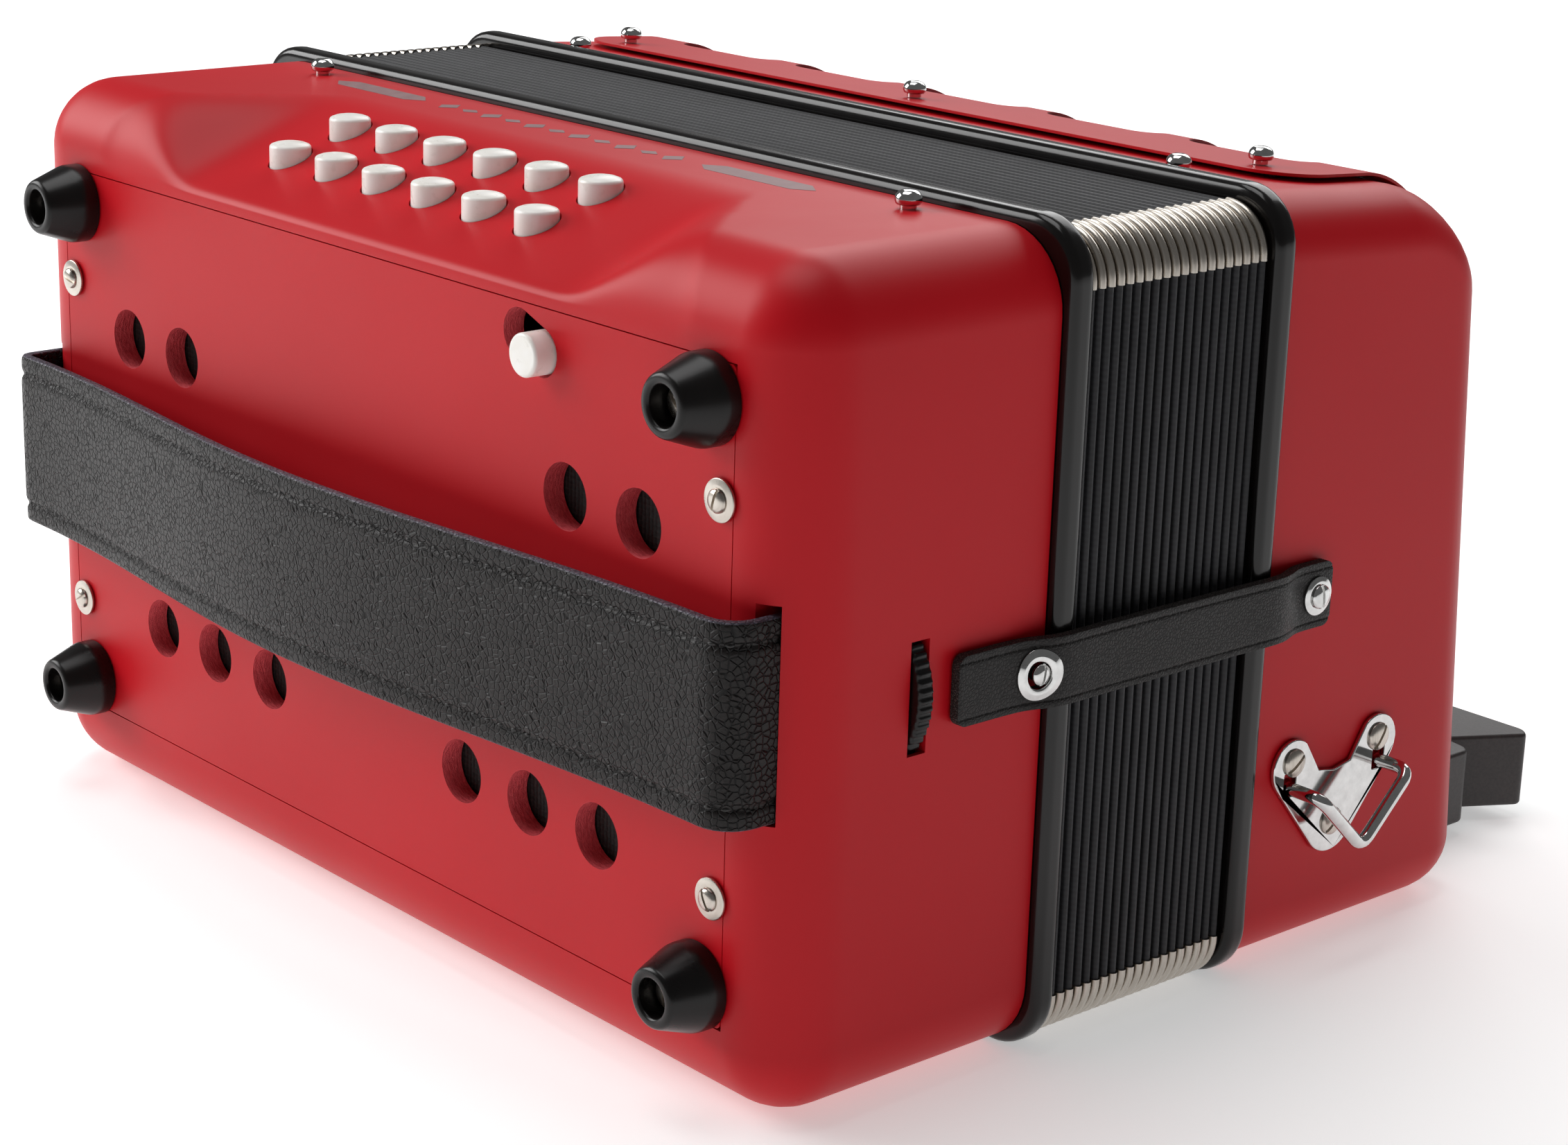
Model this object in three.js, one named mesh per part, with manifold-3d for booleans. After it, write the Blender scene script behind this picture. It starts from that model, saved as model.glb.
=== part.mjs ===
// A three-row button accordion, lying on its back with its bellows closed.
// Units are millimetres. X runs along the length, Y from the bass end to the treble end, Z up.
// Lengths below are measured from the face of the bass end plate (Y = 0) and from the back (Z = 0);
// the whole group is then moved so that the middle of the bottom of its box is the origin.
import * as THREE from "three";
import { mergeVertices } from "three/addons/utils/BufferGeometryUtils.js";
import Module from "manifold-3d";

const wasm = await Module();
wasm.setup();

// ---------------------------------------------------------------- driving dimensions

const HALF = 155; // half of the case's length along X
const HIGH = 191.5; // height of the case from back to front
const GAP = 0.3; // clearance between pieces that touch
const EDGE = 18; // radius of the case's rounded edges
const WALL = 6; // thickness of the case walls

const BASS_DEPTH = 75.5; // Y of the bass case's open side
const PLATE = { half: 136.6, low: 21.2, high: 169.7, thick: 8 }; // bass end plate
const LEDGE = 3.6; // width of the ledge that the end plate sits on
const END_WALL = 12; // Y of the inside of the bass end wall
const CAVITY_TOP = 170; // Z of the underside of the bass front wall

const SCOOP = { edgeY: 47, slope: 0.404, left: -86, leftRamp: 0.8, right: 80, rightRamp: 0.51 }; // button recess
const BUTTON = { radius: 5.2, pitch: 20.3, travel: 4, proud: 4.8, flange: 6.5 };
const BASS_ROWS = [
  { y: 35.4, middle: -4.4 },
  { y: 20.3, middle: -8.5 },
];
const BUTTONS_PER_BASS_ROW = 6;

const FRAME_THICK = 7; // each bellows frame along Y
const FRAME_PROUD = 3; // how far it stands out of the case
const TREBLE_START = 149.7; // Y of the treble case's open side
const FOLDS = 9; // bellows fold rings
const FOLD_DEPTH = 24; // radial depth of a fold

const TREBLE_END = 240.8; // Y of the treble end face, near the back
const SLANT = 0.0788; // the end face leans this much of Y for each unit of Z
const TAPER = 0.053; // the treble case's front drops this much for each unit of Y
const TREBLE_EDGES = { front: 34, back: 17, side: 15 }; // its three edge radii
const GRILLE = { lift: 1.2, thick: 0.8, startY: 173, half: 137, lowZ: 118 };
const WINDOWS = { count: 5, pitch: 50, half: 20, startY: 202, lowZ: 152 }; // the grille's openings

const BOARD = { low: 4, high: 25, inner: 242, step: 272, outer: 297 }; // fingerboard
const BOARD_HALF = { root: 131, waist: 121, tip: 133 };
const TREBLE_BUTTON = { radius: 5.6, pitch: 19.4, proud: 5 };
const TREBLE_ROWS = [
  { y: 252.5, count: 10 },
  { y: 268.5, count: 11 },
  { y: 284.5, count: 10 },
];

const STRAP = { low: 72, high: 118, thick: 3.2, outerX: 148, rise: 9, stand: 10.5, peakX: -8 };
const MIDDLE_Z = 95.2; // height of the straps' centre line
const AIR = { x: 70.8, z: 159.4, radius: 5, proud: 5.4 }; // air button at rest
const AIR_WAY = new THREE.Vector3(-0.937, 0, 0.348); // the way its slot runs
const AIR_SLOT = 8.6; // how far it moves along the slot
const WHEEL = { radius: 20, proud: 3.3, y: 37.5, thick: 4.4 }; // strap adjusting wheel
const BRACKET = { y: 180, z: 46.2, thick: 1.2 }; // strap bracket, and the height of its ring's pivot
const RING = { half: 16.9, reach: 11.3, drop: 16, wire: 1.7 }; // bracket ring

// ---------------------------------------------------------------- solids

// A closed three.js geometry as a manifold solid.
function solid(geometry) {
  const bare = new THREE.BufferGeometry();
  const source = geometry.index ? geometry.toNonIndexed() : geometry;
  bare.setAttribute("position", source.getAttribute("position"));
  const merged = mergeVertices(bare, 1e-4);
  const corners = merged.index.array;
  const kept = [];
  for (let i = 0; i < corners.length; i += 3) {
    const [a, b, c] = [corners[i], corners[i + 1], corners[i + 2]];
    if (a !== b && b !== c && c !== a) kept.push(a, b, c);
  }
  const data = {
    numProp: 3,
    vertProperties: new Float32Array(merged.attributes.position.array),
    triVerts: new Uint32Array(kept),
  };
  return new wasm.Manifold(new wasm.Mesh(data));
}

// A manifold solid as a three.js geometry.
function geometryOf(body) {
  const mesh = body.getMesh();
  const points = new Float32Array(mesh.numVert * 3);
  for (let i = 0; i < mesh.numVert; i++) {
    points.set(mesh.vertProperties.subarray(i * mesh.numProp, i * mesh.numProp + 3), i * 3);
  }
  const geometry = new THREE.BufferGeometry();
  geometry.setAttribute("position", new THREE.BufferAttribute(points, 3));
  geometry.setIndex(new THREE.BufferAttribute(new Uint32Array(mesh.triVerts), 1));
  geometry.computeVertexNormals();
  return geometry;
}

function box(low, high) {
  const size = high.map((value, axis) => value - low[axis]);
  const geometry = new THREE.BoxGeometry(...size);
  geometry.translate(...high.map((value, axis) => (value + low[axis]) / 2));
  return solid(geometry);
}

// Turns a geometry made along +Y so that it runs along the given direction, then moves it.
function aimed(geometry, place, direction) {
  const turn = new THREE.Quaternion();
  turn.setFromUnitVectors(new THREE.Vector3(0, 1, 0), new THREE.Vector3(...direction).normalize());
  geometry.applyQuaternion(turn);
  geometry.translate(...place);
  return solid(geometry);
}

// A round piece from its profile of [radius, height] pairs, which starts and ends on the axis.
function turned(profile, place, direction, sides = 10) {
  const points = profile.map(([radius, height]) => new THREE.Vector2(radius, height));
  return aimed(new THREE.LatheGeometry(points, sides), place, direction);
}

function rod(radius, place, direction, length, sides = 10) {
  const profile = [
    [0, 0],
    [radius, 0],
    [radius, length],
    [0, length],
  ];
  return turned(profile, place, direction, sides);
}

// An outline of [x, y] pairs, extruded.
function prism(outline, depth, holes = []) {
  const shape = new THREE.Shape(outline.map((point) => new THREE.Vector2(...point)));
  shape.holes = holes.map((hole) => new THREE.Path(hole.map((point) => new THREE.Vector2(...point))));
  return new THREE.ExtrudeGeometry(shape, { depth, bevelEnabled: false, curveSegments: 8 });
}

// An outline in the XY plane, extruded up Z from the given height.
function uprightPrism(outline, low, high) {
  const geometry = prism(outline, high - low);
  geometry.translate(0, 0, low);
  return solid(geometry);
}

// An outline of [y, z] pairs, extruded along X between two places.
function sidePrism(outline, from, to) {
  const geometry = prism(outline, to - from);
  const axes = new THREE.Matrix4();
  axes.makeBasis(new THREE.Vector3(0, 1, 0), new THREE.Vector3(0, 0, 1), new THREE.Vector3(1, 0, 0));
  geometry.applyMatrix4(axes);
  geometry.translate(from, 0, 0);
  return solid(geometry);
}

// An outline of [x, z] pairs, extruded along Y between two places.
function wallPrism(outline, from, to, holes = []) {
  const geometry = prism(outline, to - from, holes);
  const axes = new THREE.Matrix4();
  axes.makeBasis(new THREE.Vector3(1, 0, 0), new THREE.Vector3(0, 0, 1), new THREE.Vector3(0, -1, 0));
  geometry.applyMatrix4(axes);
  geometry.translate(0, to, 0);
  return solid(geometry);
}

// The corners of a rectangle as arcs: [x, z] pairs, anticlockwise seen with Z up and X to the right.
function roundedRectangle(left, right, low, high, radius, steps) {
  const centres = [
    [right - radius, low + radius, -90],
    [right - radius, high - radius, 0],
    [left + radius, high - radius, 90],
    [left + radius, low + radius, 180],
  ];
  const outline = [];
  for (const [x, z, start] of centres) {
    for (let step = 0; step <= steps; step++) {
      const angle = THREE.MathUtils.degToRad(start + (90 * step) / steps);
      outline.push([x + radius * Math.cos(angle), z + radius * Math.sin(angle)]);
    }
  }
  return outline;
}

// Rings of [x, y, z] points with the same count, joined in order of increasing Y and capped.
function loft(rings) {
  const count = rings[0].length;
  const points = rings.flat();
  const faces = [];
  for (let level = 0; level + 1 < rings.length; level++) {
    for (let i = 0; i < count; i++) {
      const a = level * count + i;
      const b = level * count + ((i + 1) % count);
      faces.push(a, a + count, b, b, a + count, b + count);
    }
  }
  const last = (rings.length - 1) * count;
  for (let i = 1; i + 1 < count; i++) {
    faces.push(0, i, i + 1, last, last + i + 1, last + i);
  }
  const geometry = new THREE.BufferGeometry();
  geometry.setAttribute("position", new THREE.Float32BufferAttribute(points.flat(), 3));
  geometry.setIndex(faces);
  return solid(geometry);
}

const sum = (bodies) => bodies.reduce((whole, body) => whole.add(body));
const cut = (body, tools) => tools.reduce((left, tool) => left.subtract(tool), body);

// How far an edge of the given radius has drawn in at a distance from the end face.
function drawIn(radius, distance) {
  const inside = Math.max(radius - distance, 0);
  return radius - Math.sqrt(radius * radius - inside * inside);
}

// ---------------------------------------------------------------- materials

const finish = (color, roughness, metalness) =>
  new THREE.MeshStandardMaterial({ color, roughness, metalness });
const RED = finish("#b0202a", 0.45, 0);
const BLACK = finish("#1b1a1b", 0.35, 0);
const CLOTH = finish("#29292d", 0.9, 0);
const IVORY = finish("#efebe4", 0.35, 0);
const LEATHER = finish("#2b2725", 0.7, 0);
const NICKEL = finish("#c9c4bc", 0.25, 1);
const STEEL = finish("#8d8d90", 0.4, 1);
const SPRUCE = finish("#d8b98a", 0.8, 0);

const accordion = new THREE.Group();

function add(name, body, material, group = accordion) {
  const mesh = new THREE.Mesh(geometryOf(body), material);
  mesh.name = name;
  group.add(mesh);
  return mesh;
}

const SIDES = [
  { name: "top", sign: 1 },
  { name: "bottom", sign: -1 },
];

// ---------------------------------------------------------------- bass case

function bassBlock() {
  const rings = [];
  const arcSteps = 5;
  for (let step = 0; step <= arcSteps; step++) {
    const y = EDGE * (1 - Math.cos((Math.PI / 2) * (step / arcSteps)));
    const inset = drawIn(EDGE, y);
    const corner = Math.max(EDGE - inset, 1);
    const outline = roundedRectangle(-HALF + inset, HALF - inset, inset, HIGH - inset, corner, 3);
    rings.push(outline.map(([x, z]) => [x, y, z]));
  }
  rings.push(rings.at(-1).map(([x, , z]) => [x, BASS_DEPTH, z]));
  return loft(rings);
}

// Height of the sloped floor of the button recess.
const scoopFloor = (y) => HIGH - SCOOP.slope * (SCOOP.edgeY - y);

// The wedge that the recess takes out of the front: a sloped floor with a ramp at each end.
function scoopWedge() {
  const above = HIGH + 3;
  const before = -4;
  const after = SCOOP.edgeY + (above - HIGH - 0.1) / SCOOP.slope;
  const rings = [before, after].map((y) => {
    const low = scoopFloor(y);
    return [
      [SCOOP.left, y, low],
      [SCOOP.right, y, low],
      [SCOOP.right + (above - low) / SCOOP.rightRamp, y, above],
      [SCOOP.left - (above - low) / SCOOP.leftRamp, y, above],
    ];
  });
  return loft(rings);
}

function buttonPlaces() {
  const places = [];
  for (const row of BASS_ROWS) {
    for (let i = 0; i < BUTTONS_PER_BASS_ROW; i++) {
      const offset = (i - (BUTTONS_PER_BASS_ROW - 1) / 2) * BUTTON.pitch;
      places.push({ x: row.middle + offset, y: row.y });
    }
  }
  return places;
}

function bassCase() {
  const slotDepth = 30;
  const wheelSlot = 13;
  const wheelPocket = 18;
  const tools = [
    box([-PLATE.half, -1, PLATE.low], [PLATE.half, PLATE.thick + GAP, PLATE.high]),
    box([-PLATE.half + LEDGE, 0, PLATE.low + LEDGE], [PLATE.half - LEDGE, END_WALL + 1, PLATE.high - LEDGE]),
    box([-HALF + WALL, END_WALL, WALL], [HALF - WALL, BASS_DEPTH + 1, CAVITY_TOP]),
    box([HALF - 3, WHEEL.y - 2.7, MIDDLE_Z - wheelSlot], [HALF + 1, WHEEL.y + 2.7, MIDDLE_Z + wheelSlot]),
    box([HALF - 9, WHEEL.y - 2.7, MIDDLE_Z - wheelPocket], [HALF - 1.2, WHEEL.y + 2.7, MIDDLE_Z + wheelPocket]),
    box([AIR.x - 17, PLATE.thick, AIR.z - 6], [AIR.x + 8, END_WALL + 1, PLATE.high - 0.8]), // room for the air button
    scoopWedge(),
  ];
  for (const { sign } of SIDES) {
    const near = STRAP.outerX - STRAP.thick - 1.2;
    const far = STRAP.outerX + 1;
    const slot = sign > 0 ? [near, far] : [-far, -near];
    tools.push(box([slot[0], -1, STRAP.low - 1], [slot[1], slotDepth, STRAP.high + 1]));
  }
  for (const { x, y } of buttonPlaces()) {
    tools.push(rod(BUTTON.radius + 0.4, [x, y, CAVITY_TOP - 2], [0, 0, 1], 30, 12));
  }
  return cut(bassBlock(), tools);
}

add("bass_case", bassCase(), RED);

// ---------------------------------------------------------------- bass end plate

const HOLE_RADIUS = 7.75;
const UPPER_HOLES = [79.8, 105.5];
const LOWER_HOLES = [41.2, 67, 92.5];

function endPlate() {
  const outline = roundedRectangle(
    -PLATE.half + GAP,
    PLATE.half - GAP,
    PLATE.low + GAP,
    PLATE.high - GAP,
    1.5,
    2,
  );
  const tools = [];
  for (const { sign } of SIDES) {
    for (const x of UPPER_HOLES) {
      tools.push(rod(HOLE_RADIUS, [sign * x, -1, 128.7], [0, 1, 0], PLATE.thick + 2, 16));
    }
    for (const x of LOWER_HOLES) {
      tools.push(rod(HOLE_RADIUS, [sign * x, -1, 52.8], [0, 1, 0], PLATE.thick + 2, 16));
    }
  }
  const slotRadius = AIR.radius + 0.6;
  const slotSteps = 4;
  for (let step = 0; step <= slotSteps; step++) {
    const along = AIR_WAY.clone().multiplyScalar((AIR_SLOT * step) / slotSteps);
    tools.push(rod(slotRadius, [AIR.x + along.x, -1, AIR.z + along.z], [0, 1, 0], PLATE.thick + 2, 16));
  }
  return cut(wallPrism(outline, 0, PLATE.thick), tools);
}

add("bass_end_plate", endPlate(), RED);
add(
  "bass_grille_cloth",
  box([-PLATE.half + 6, PLATE.thick + GAP, 28], [PLATE.half - 6, PLATE.thick + 1.2, 148]),
  CLOTH,
);

const FOOT = { x: 128.4, low: 29.7, high: 161.1, height: 13.3 };
const FOOT_PROFILE = [
  [0, 0],
  [10.2, 0],
  [10.2, 3.6],
  [6.8, FOOT.height - GAP],
  [4.1, FOOT.height - GAP],
  [4.1, 4.5],
  [0, 4.5],
];
const PLATE_SCREW = { x: 132.8, low: 51.3, high: 140.2 };
const WASHER_PROFILE = [
  [0, 0],
  [4.8, 0],
  [4.8, 1],
  [2.7, 1.1],
  [2.1, 2.1],
  [0, 2.6],
];
const CORNERS = [
  { name: "top_front", sign: 1, level: "high" },
  { name: "top_back", sign: 1, level: "low" },
  { name: "bottom_front", sign: -1, level: "high" },
  { name: "bottom_back", sign: -1, level: "low" },
];

for (const { name, sign, level } of CORNERS) {
  add("bass_foot_" + name, turned(FOOT_PROFILE, [sign * FOOT.x, -GAP, FOOT[level]], [0, -1, 0], 16), BLACK);
  const screw = turned(WASHER_PROFILE, [sign * PLATE_SCREW.x, -GAP, PLATE_SCREW[level]], [0, -1, 0]);
  add("end_plate_screw_" + name, screw, NICKEL);
}

// ---------------------------------------------------------------- hand strap and its adjuster

// Outer face of the strap over the hand gap: a low arch, a little longer towards the top end.
function strapFace(x) {
  const reach = x < STRAP.peakX ? 130 : 150;
  const share = Math.min(Math.abs(x - STRAP.peakX) / reach, 1);
  return -(STRAP.stand + STRAP.rise * Math.cos((Math.PI / 2) * share) ** 2);
}

// One face of the strap as [x, y] pairs, drawn in from the outer face by inset.
function strapLine(inset) {
  const line = [];
  const side = STRAP.outerX - inset;
  const inside = 26;
  const leftBend = Math.max(4 - inset, 0.8);
  const rightBend = Math.max(9 - inset, 3);
  const leftFace = strapFace(-STRAP.outerX) + inset;
  const rightFace = strapFace(STRAP.outerX) + inset;
  line.push([-side, inside]);
  for (let step = 0; step <= 3; step++) {
    const angle = ((Math.PI / 2) * step) / 3;
    const x = -side + leftBend * (1 - Math.cos(angle));
    line.push([x, leftFace + leftBend * (1 - Math.sin(angle))]);
  }
  for (let x = -132; x <= 132; x += 12) {
    line.push([x, strapFace(x) + inset]);
  }
  for (let step = 0; step <= 4; step++) {
    const angle = ((Math.PI / 2) * step) / 4;
    const x = side - rightBend * (1 - Math.sin(angle));
    line.push([x, rightFace + rightBend * (1 - Math.cos(angle))]);
  }
  line.push([side, inside]);
  return line;
}

const strapOutline = [...strapLine(0), ...strapLine(STRAP.thick).reverse()];
add("hand_strap", uprightPrism(strapOutline, STRAP.low, STRAP.high), LEATHER);

const wheelX = HALF + WHEEL.proud - WHEEL.radius;
const SPINDLE = { radius: 3, from: 15, to: 66 };
const halfWheel = WHEEL.thick / 2;
const WHEEL_PROFILE = [
  [0, SPINDLE.from - WHEEL.y],
  [SPINDLE.radius, SPINDLE.from - WHEEL.y],
  [SPINDLE.radius, -halfWheel],
  [WHEEL.radius - 0.8, -halfWheel],
  [WHEEL.radius, -halfWheel + 0.8],
  [WHEEL.radius, halfWheel - 0.8],
  [WHEEL.radius - 0.8, halfWheel],
  [SPINDLE.radius, halfWheel],
  [SPINDLE.radius, SPINDLE.to - WHEEL.y],
  [0, SPINDLE.to - WHEEL.y],
];
add("strap_wheel", turned(WHEEL_PROFILE, [wheelX, WHEEL.y, MIDDLE_Z], [0, 1, 0], 24), BLACK);

const nutHigh = STRAP.outerX - STRAP.thick - GAP;
const strapNut = box([wheelX - 6, 17, MIDDLE_Z - 14], [nutHigh, 25, MIDDLE_Z + 14]).subtract(
  rod(SPINDLE.radius + 0.4, [wheelX, 10, MIDDLE_Z], [0, 1, 0], 20, 16),
);
add("strap_nut", strapNut, STEEL);

// ---------------------------------------------------------------- air button and its lever

const AIR_PIVOT = { along: 30, deep: 40 }; // pivot, back along the slot and into the case
const pivot = new THREE.Vector3(AIR.x, AIR_PIVOT.deep, AIR.z).addScaledVector(AIR_WAY, -AIR_PIVOT.along);
const PIVOT_AXIS = [0.348, 0, 0.937];
const AIR_CAP = [
  [0, -2.6],
  [AIR.radius, -2.6],
  [AIR.radius, AIR.proud - 0.6],
  [AIR.radius - 0.6, AIR.proud],
  [0, AIR.proud],
];
add("air_button", turned(AIR_CAP, [AIR.x, 0, AIR.z], [0, -1, 0], 20), IVORY);

function airLever() {
  const knee = new THREE.Vector3(AIR.x, 24, AIR.z);
  const arm = pivot.clone().sub(knee);
  const stem = rod(2, [AIR.x, 2.6 + GAP, AIR.z], [0, 1, 0], knee.y + 2 - 2.6 - GAP, 10);
  const bar = rod(2, knee.toArray(), arm.toArray(), arm.length(), 10);
  const hubFoot = pivot.clone().addScaledVector(new THREE.Vector3(...PIVOT_AXIS), -5);
  const hub = rod(4, hubFoot.toArray(), PIVOT_AXIS, 10, 12);
  return sum([stem, bar, hub]);
}
add("air_lever", airLever(), STEEL);

// ---------------------------------------------------------------- bass buttons

buttonPlaces().forEach(({ x, y }, index) => {
  const top = scoopFloor(y) + BUTTON.proud;
  const foot = CAVITY_TOP - GAP - 2;
  const profile = [
    [0, 0],
    [BUTTON.flange, 0],
    [BUTTON.flange, 2],
    [BUTTON.radius, 2],
    [BUTTON.radius, top - foot - 0.9],
    [BUTTON.radius - 0.9, top - foot - 0.2],
    [0, top - foot],
  ];
  const number = String(index + 1).padStart(2, "0");
  add("bass_button_" + number, turned(profile, [x, y, foot], [0, 0, 1], 12), IVORY);
});

// ---------------------------------------------------------------- bellows

function ringPlate(out, low, high, depth, corner, from, to) {
  const outer = roundedRectangle(-HALF - out, HALF + out, low, high, corner, 3);
  const inner = roundedRectangle(
    -HALF - out + depth,
    HALF + out - depth,
    low + depth,
    high - depth,
    2,
    1,
  );
  return wallPrism(outer, from, to, [inner.reverse()]);
}

function bellowsFrame(from) {
  return ringPlate(FRAME_PROUD, 0, HIGH + FRAME_PROUD, 20, 14, from, from + FRAME_THICK);
}

const bassFrameY = BASS_DEPTH + GAP;
const trebleFrameY = TREBLE_START - GAP - FRAME_THICK;
const foldsFrom = bassFrameY + FRAME_THICK + GAP;
const foldPitch = (trebleFrameY - foldsFrom) / FOLDS;

add("bass_bellows_frame", bellowsFrame(bassFrameY), BLACK);
for (let i = 0; i < FOLDS; i++) {
  const from = foldsFrom + i * foldPitch;
  const ring = ringPlate(0.5, 0.6, HIGH - 0.6, FOLD_DEPTH, 12, from, from + foldPitch - GAP);
  add("bellows_fold_" + (i + 1), ring, CLOTH);
}
add("treble_bellows_frame", bellowsFrame(trebleFrameY), BLACK);

// ---------------------------------------------------------------- treble case and grille

// The treble case's outer form, grown by the given amount all over.
function trebleBlock(grown, start = TREBLE_START) {
  const radii = {
    front: TREBLE_EDGES.front + grown,
    back: TREBLE_EDGES.back + grown,
    side: TREBLE_EDGES.side + grown,
  };
  const end = TREBLE_END + grown;
  const levels = [start];
  const arcSteps = 7;
  for (let step = arcSteps; step >= 0; step--) {
    levels.push(end - radii.front * (1 - Math.cos((Math.PI / 2) * (step / arcSteps))));
  }
  const taper = (y, z) => z * (1 - (TAPER * (y - TREBLE_START)) / HIGH);
  const lean = (y, z) => y - SLANT * Math.max(z - radii.back, 0) * ((y - TREBLE_START) / (end - TREBLE_START));
  const rings = levels.map((y) => {
    const inset = { front: drawIn(radii.front, end - y), back: drawIn(radii.back, end - y) };
    inset.side = drawIn(radii.side, end - y);
    const corner = Math.max(EDGE - 3 + grown - inset.side, 1);
    const outline = roundedRectangle(
      -HALF - grown + inset.side,
      HALF + grown - inset.side,
      -grown + inset.back,
      HIGH + grown - inset.front,
      corner,
      3,
    );
    return outline.map(([x, z]) => [x, lean(y, z), taper(y, z)]);
  });
  return loft(rings);
}

const SOUND_OPENING = { half: 118, from: 181, to: 206 };

function trebleCase() {
  const tools = [
    trebleBlock(-WALL, TREBLE_START - 1),
    box([-SOUND_OPENING.half, SOUND_OPENING.from, 150], [SOUND_OPENING.half, SOUND_OPENING.to, HIGH + 2]),
  ];
  for (const { sign } of SIDES) {
    for (const side of [-1, 1]) {
      const place = [sign * (HALF - 1.6), BRACKET.y + side * RING.half, BRACKET.z];
      tools.push(rod(RING.wire + 0.6, place, [sign, 0, 0], 3));
    }
  }
  return cut(trebleBlock(0), tools);
}
add("treble_case", trebleCase(), RED);

// The plan of a cover that lies over the front of the treble case.
function coverWindow(half, startY, lowZ) {
  const end = TREBLE_END + 20;
  const outline = roundedRectangle(-half, half, startY, end, 16, 5);
  return uprightPrism(outline, lowZ, HIGH + 20);
}

function coverSheet(lift, thick, half, startY, lowZ) {
  const sheet = trebleBlock(lift + thick, startY - 8).subtract(trebleBlock(lift, startY - 9));
  return sheet.intersect(coverWindow(half, startY, lowZ));
}

function trebleGrille() {
  const slots = [];
  for (let i = 0; i < WINDOWS.count; i++) {
    const x = (i - (WINDOWS.count - 1) / 2) * WINDOWS.pitch;
    const outline = roundedRectangle(
      x - WINDOWS.half,
      x + WINDOWS.half,
      WINDOWS.startY,
      TREBLE_END + 30,
      7,
      3,
    );
    slots.push(uprightPrism(outline, WINDOWS.lowZ, HIGH + 10));
  }
  const sheet = coverSheet(GRILLE.lift, GRILLE.thick, GRILLE.half, GRILLE.startY, GRILLE.lowZ);
  return cut(sheet, slots);
}
add("treble_grille", trebleGrille(), RED);
add("treble_grille_cloth", coverSheet(0.3, 0.5, 128, 179, 140), CLOTH);

const GRILLE_SCREW = { xs: [-120.6, 0, 120.6], y: 178 };
const PIN_PROFILE = [
  [0, 0],
  [2.4, 0],
  [2.4, 0.6],
  [3.1, 1.3],
  [2.6, 2.7],
  [0, 3.6],
];
GRILLE_SCREW.xs.forEach((x, index) => {
  const drop = TAPER * (GRILLE_SCREW.y - TREBLE_START);
  const top = HIGH - drop + GRILLE.lift + GRILLE.thick + GAP;
  const screw = turned(PIN_PROFILE, [x, GRILLE_SCREW.y, top], [0, TAPER, 1]);
  add("grille_screw_" + (index + 1), screw, NICKEL);
});

// ---------------------------------------------------------------- fingerboard

const RAIL = { half: 4.4, thick: 3.5, skin: 4.5, end: 8 };

function boardOutline() {
  const half = [
    [BOARD_HALF.root, BOARD.inner - 20],
    [BOARD_HALF.root, BOARD.step - 2],
    [BOARD_HALF.root - 2, BOARD.step],
    [BOARD_HALF.waist, BOARD.step + 1.5],
    [BOARD_HALF.tip, BOARD.outer - 3],
    [BOARD_HALF.tip - 3, BOARD.outer],
  ];
  const mirrored = half.map(([x, y]) => [-x, y]).reverse();
  return [...half, ...mirrored];
}

function fingerboard() {
  const tools = [trebleBlock(GAP)];
  for (const { y, count } of TREBLE_ROWS) {
    const reach = ((count - 1) / 2) * TREBLE_BUTTON.pitch + RAIL.end + 1;
    const side = RAIL.half + 1.6;
    const top = BOARD.high - RAIL.skin;
    tools.push(box([-reach, y - side, top - RAIL.thick - BUTTON.travel - 1], [reach, y + side, top]));
    for (let i = 0; i < count; i++) {
      const x = (i - (count - 1) / 2) * TREBLE_BUTTON.pitch;
      tools.push(rod(TREBLE_BUTTON.radius + 0.4, [x, y, top - 1], [0, 0, 1], RAIL.skin + 3));
    }
  }
  return cut(uprightPrism(boardOutline(), BOARD.low, BOARD.high), tools);
}
add("fingerboard", fingerboard(), BLACK);

function trebleRow({ y, count }) {
  const reach = ((count - 1) / 2) * TREBLE_BUTTON.pitch + RAIL.end;
  const top = BOARD.high - RAIL.skin - GAP;
  const parts = [box([-reach, y - RAIL.half, top - RAIL.thick], [reach, y + RAIL.half, top])];
  const height = BOARD.high + TREBLE_BUTTON.proud - top + 1;
  const profile = [
    [0, 0],
    [TREBLE_BUTTON.radius, 0],
    [TREBLE_BUTTON.radius, height - 0.9],
    [TREBLE_BUTTON.radius - 0.9, height - 0.2],
    [0, height],
  ];
  for (let i = 0; i < count; i++) {
    const x = (i - (count - 1) / 2) * TREBLE_BUTTON.pitch;
    parts.push(turned(profile, [x, y, top - 1], [0, 0, 1]));
  }
  return sum(parts);
}
TREBLE_ROWS.forEach((row, index) => add("treble_button_row_" + (index + 1), trebleRow(row), IVORY));

// ---------------------------------------------------------------- reed blocks

// A wooden block with a row of open cells along each long side.
function reedBlock(half, from, to, low, high, cells) {
  const tools = [];
  const pitch = (2 * half - 8) / cells;
  for (let i = 0; i < cells; i++) {
    const x = -half + 4 + pitch * (i + 0.5);
    const side = pitch / 2 - 1.5;
    const reach = (to - from) / 2 - 2;
    for (const [a, b] of [[from - 1, from + reach], [to - reach, to + 1]]) {
      tools.push(box([x - side, a, low + 5], [x + side, b, high - 5]));
    }
  }
  return cut(box([-half, from, low], [half, to, high]), tools);
}
add("bass_reed_block", reedBlock(95, 50, 72, 45, 110, 6), SPRUCE);
add("treble_reed_block", reedBlock(115, 160, 186, 60, 120, 10), SPRUCE);

// ---------------------------------------------------------------- strap brackets and rings

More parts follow.
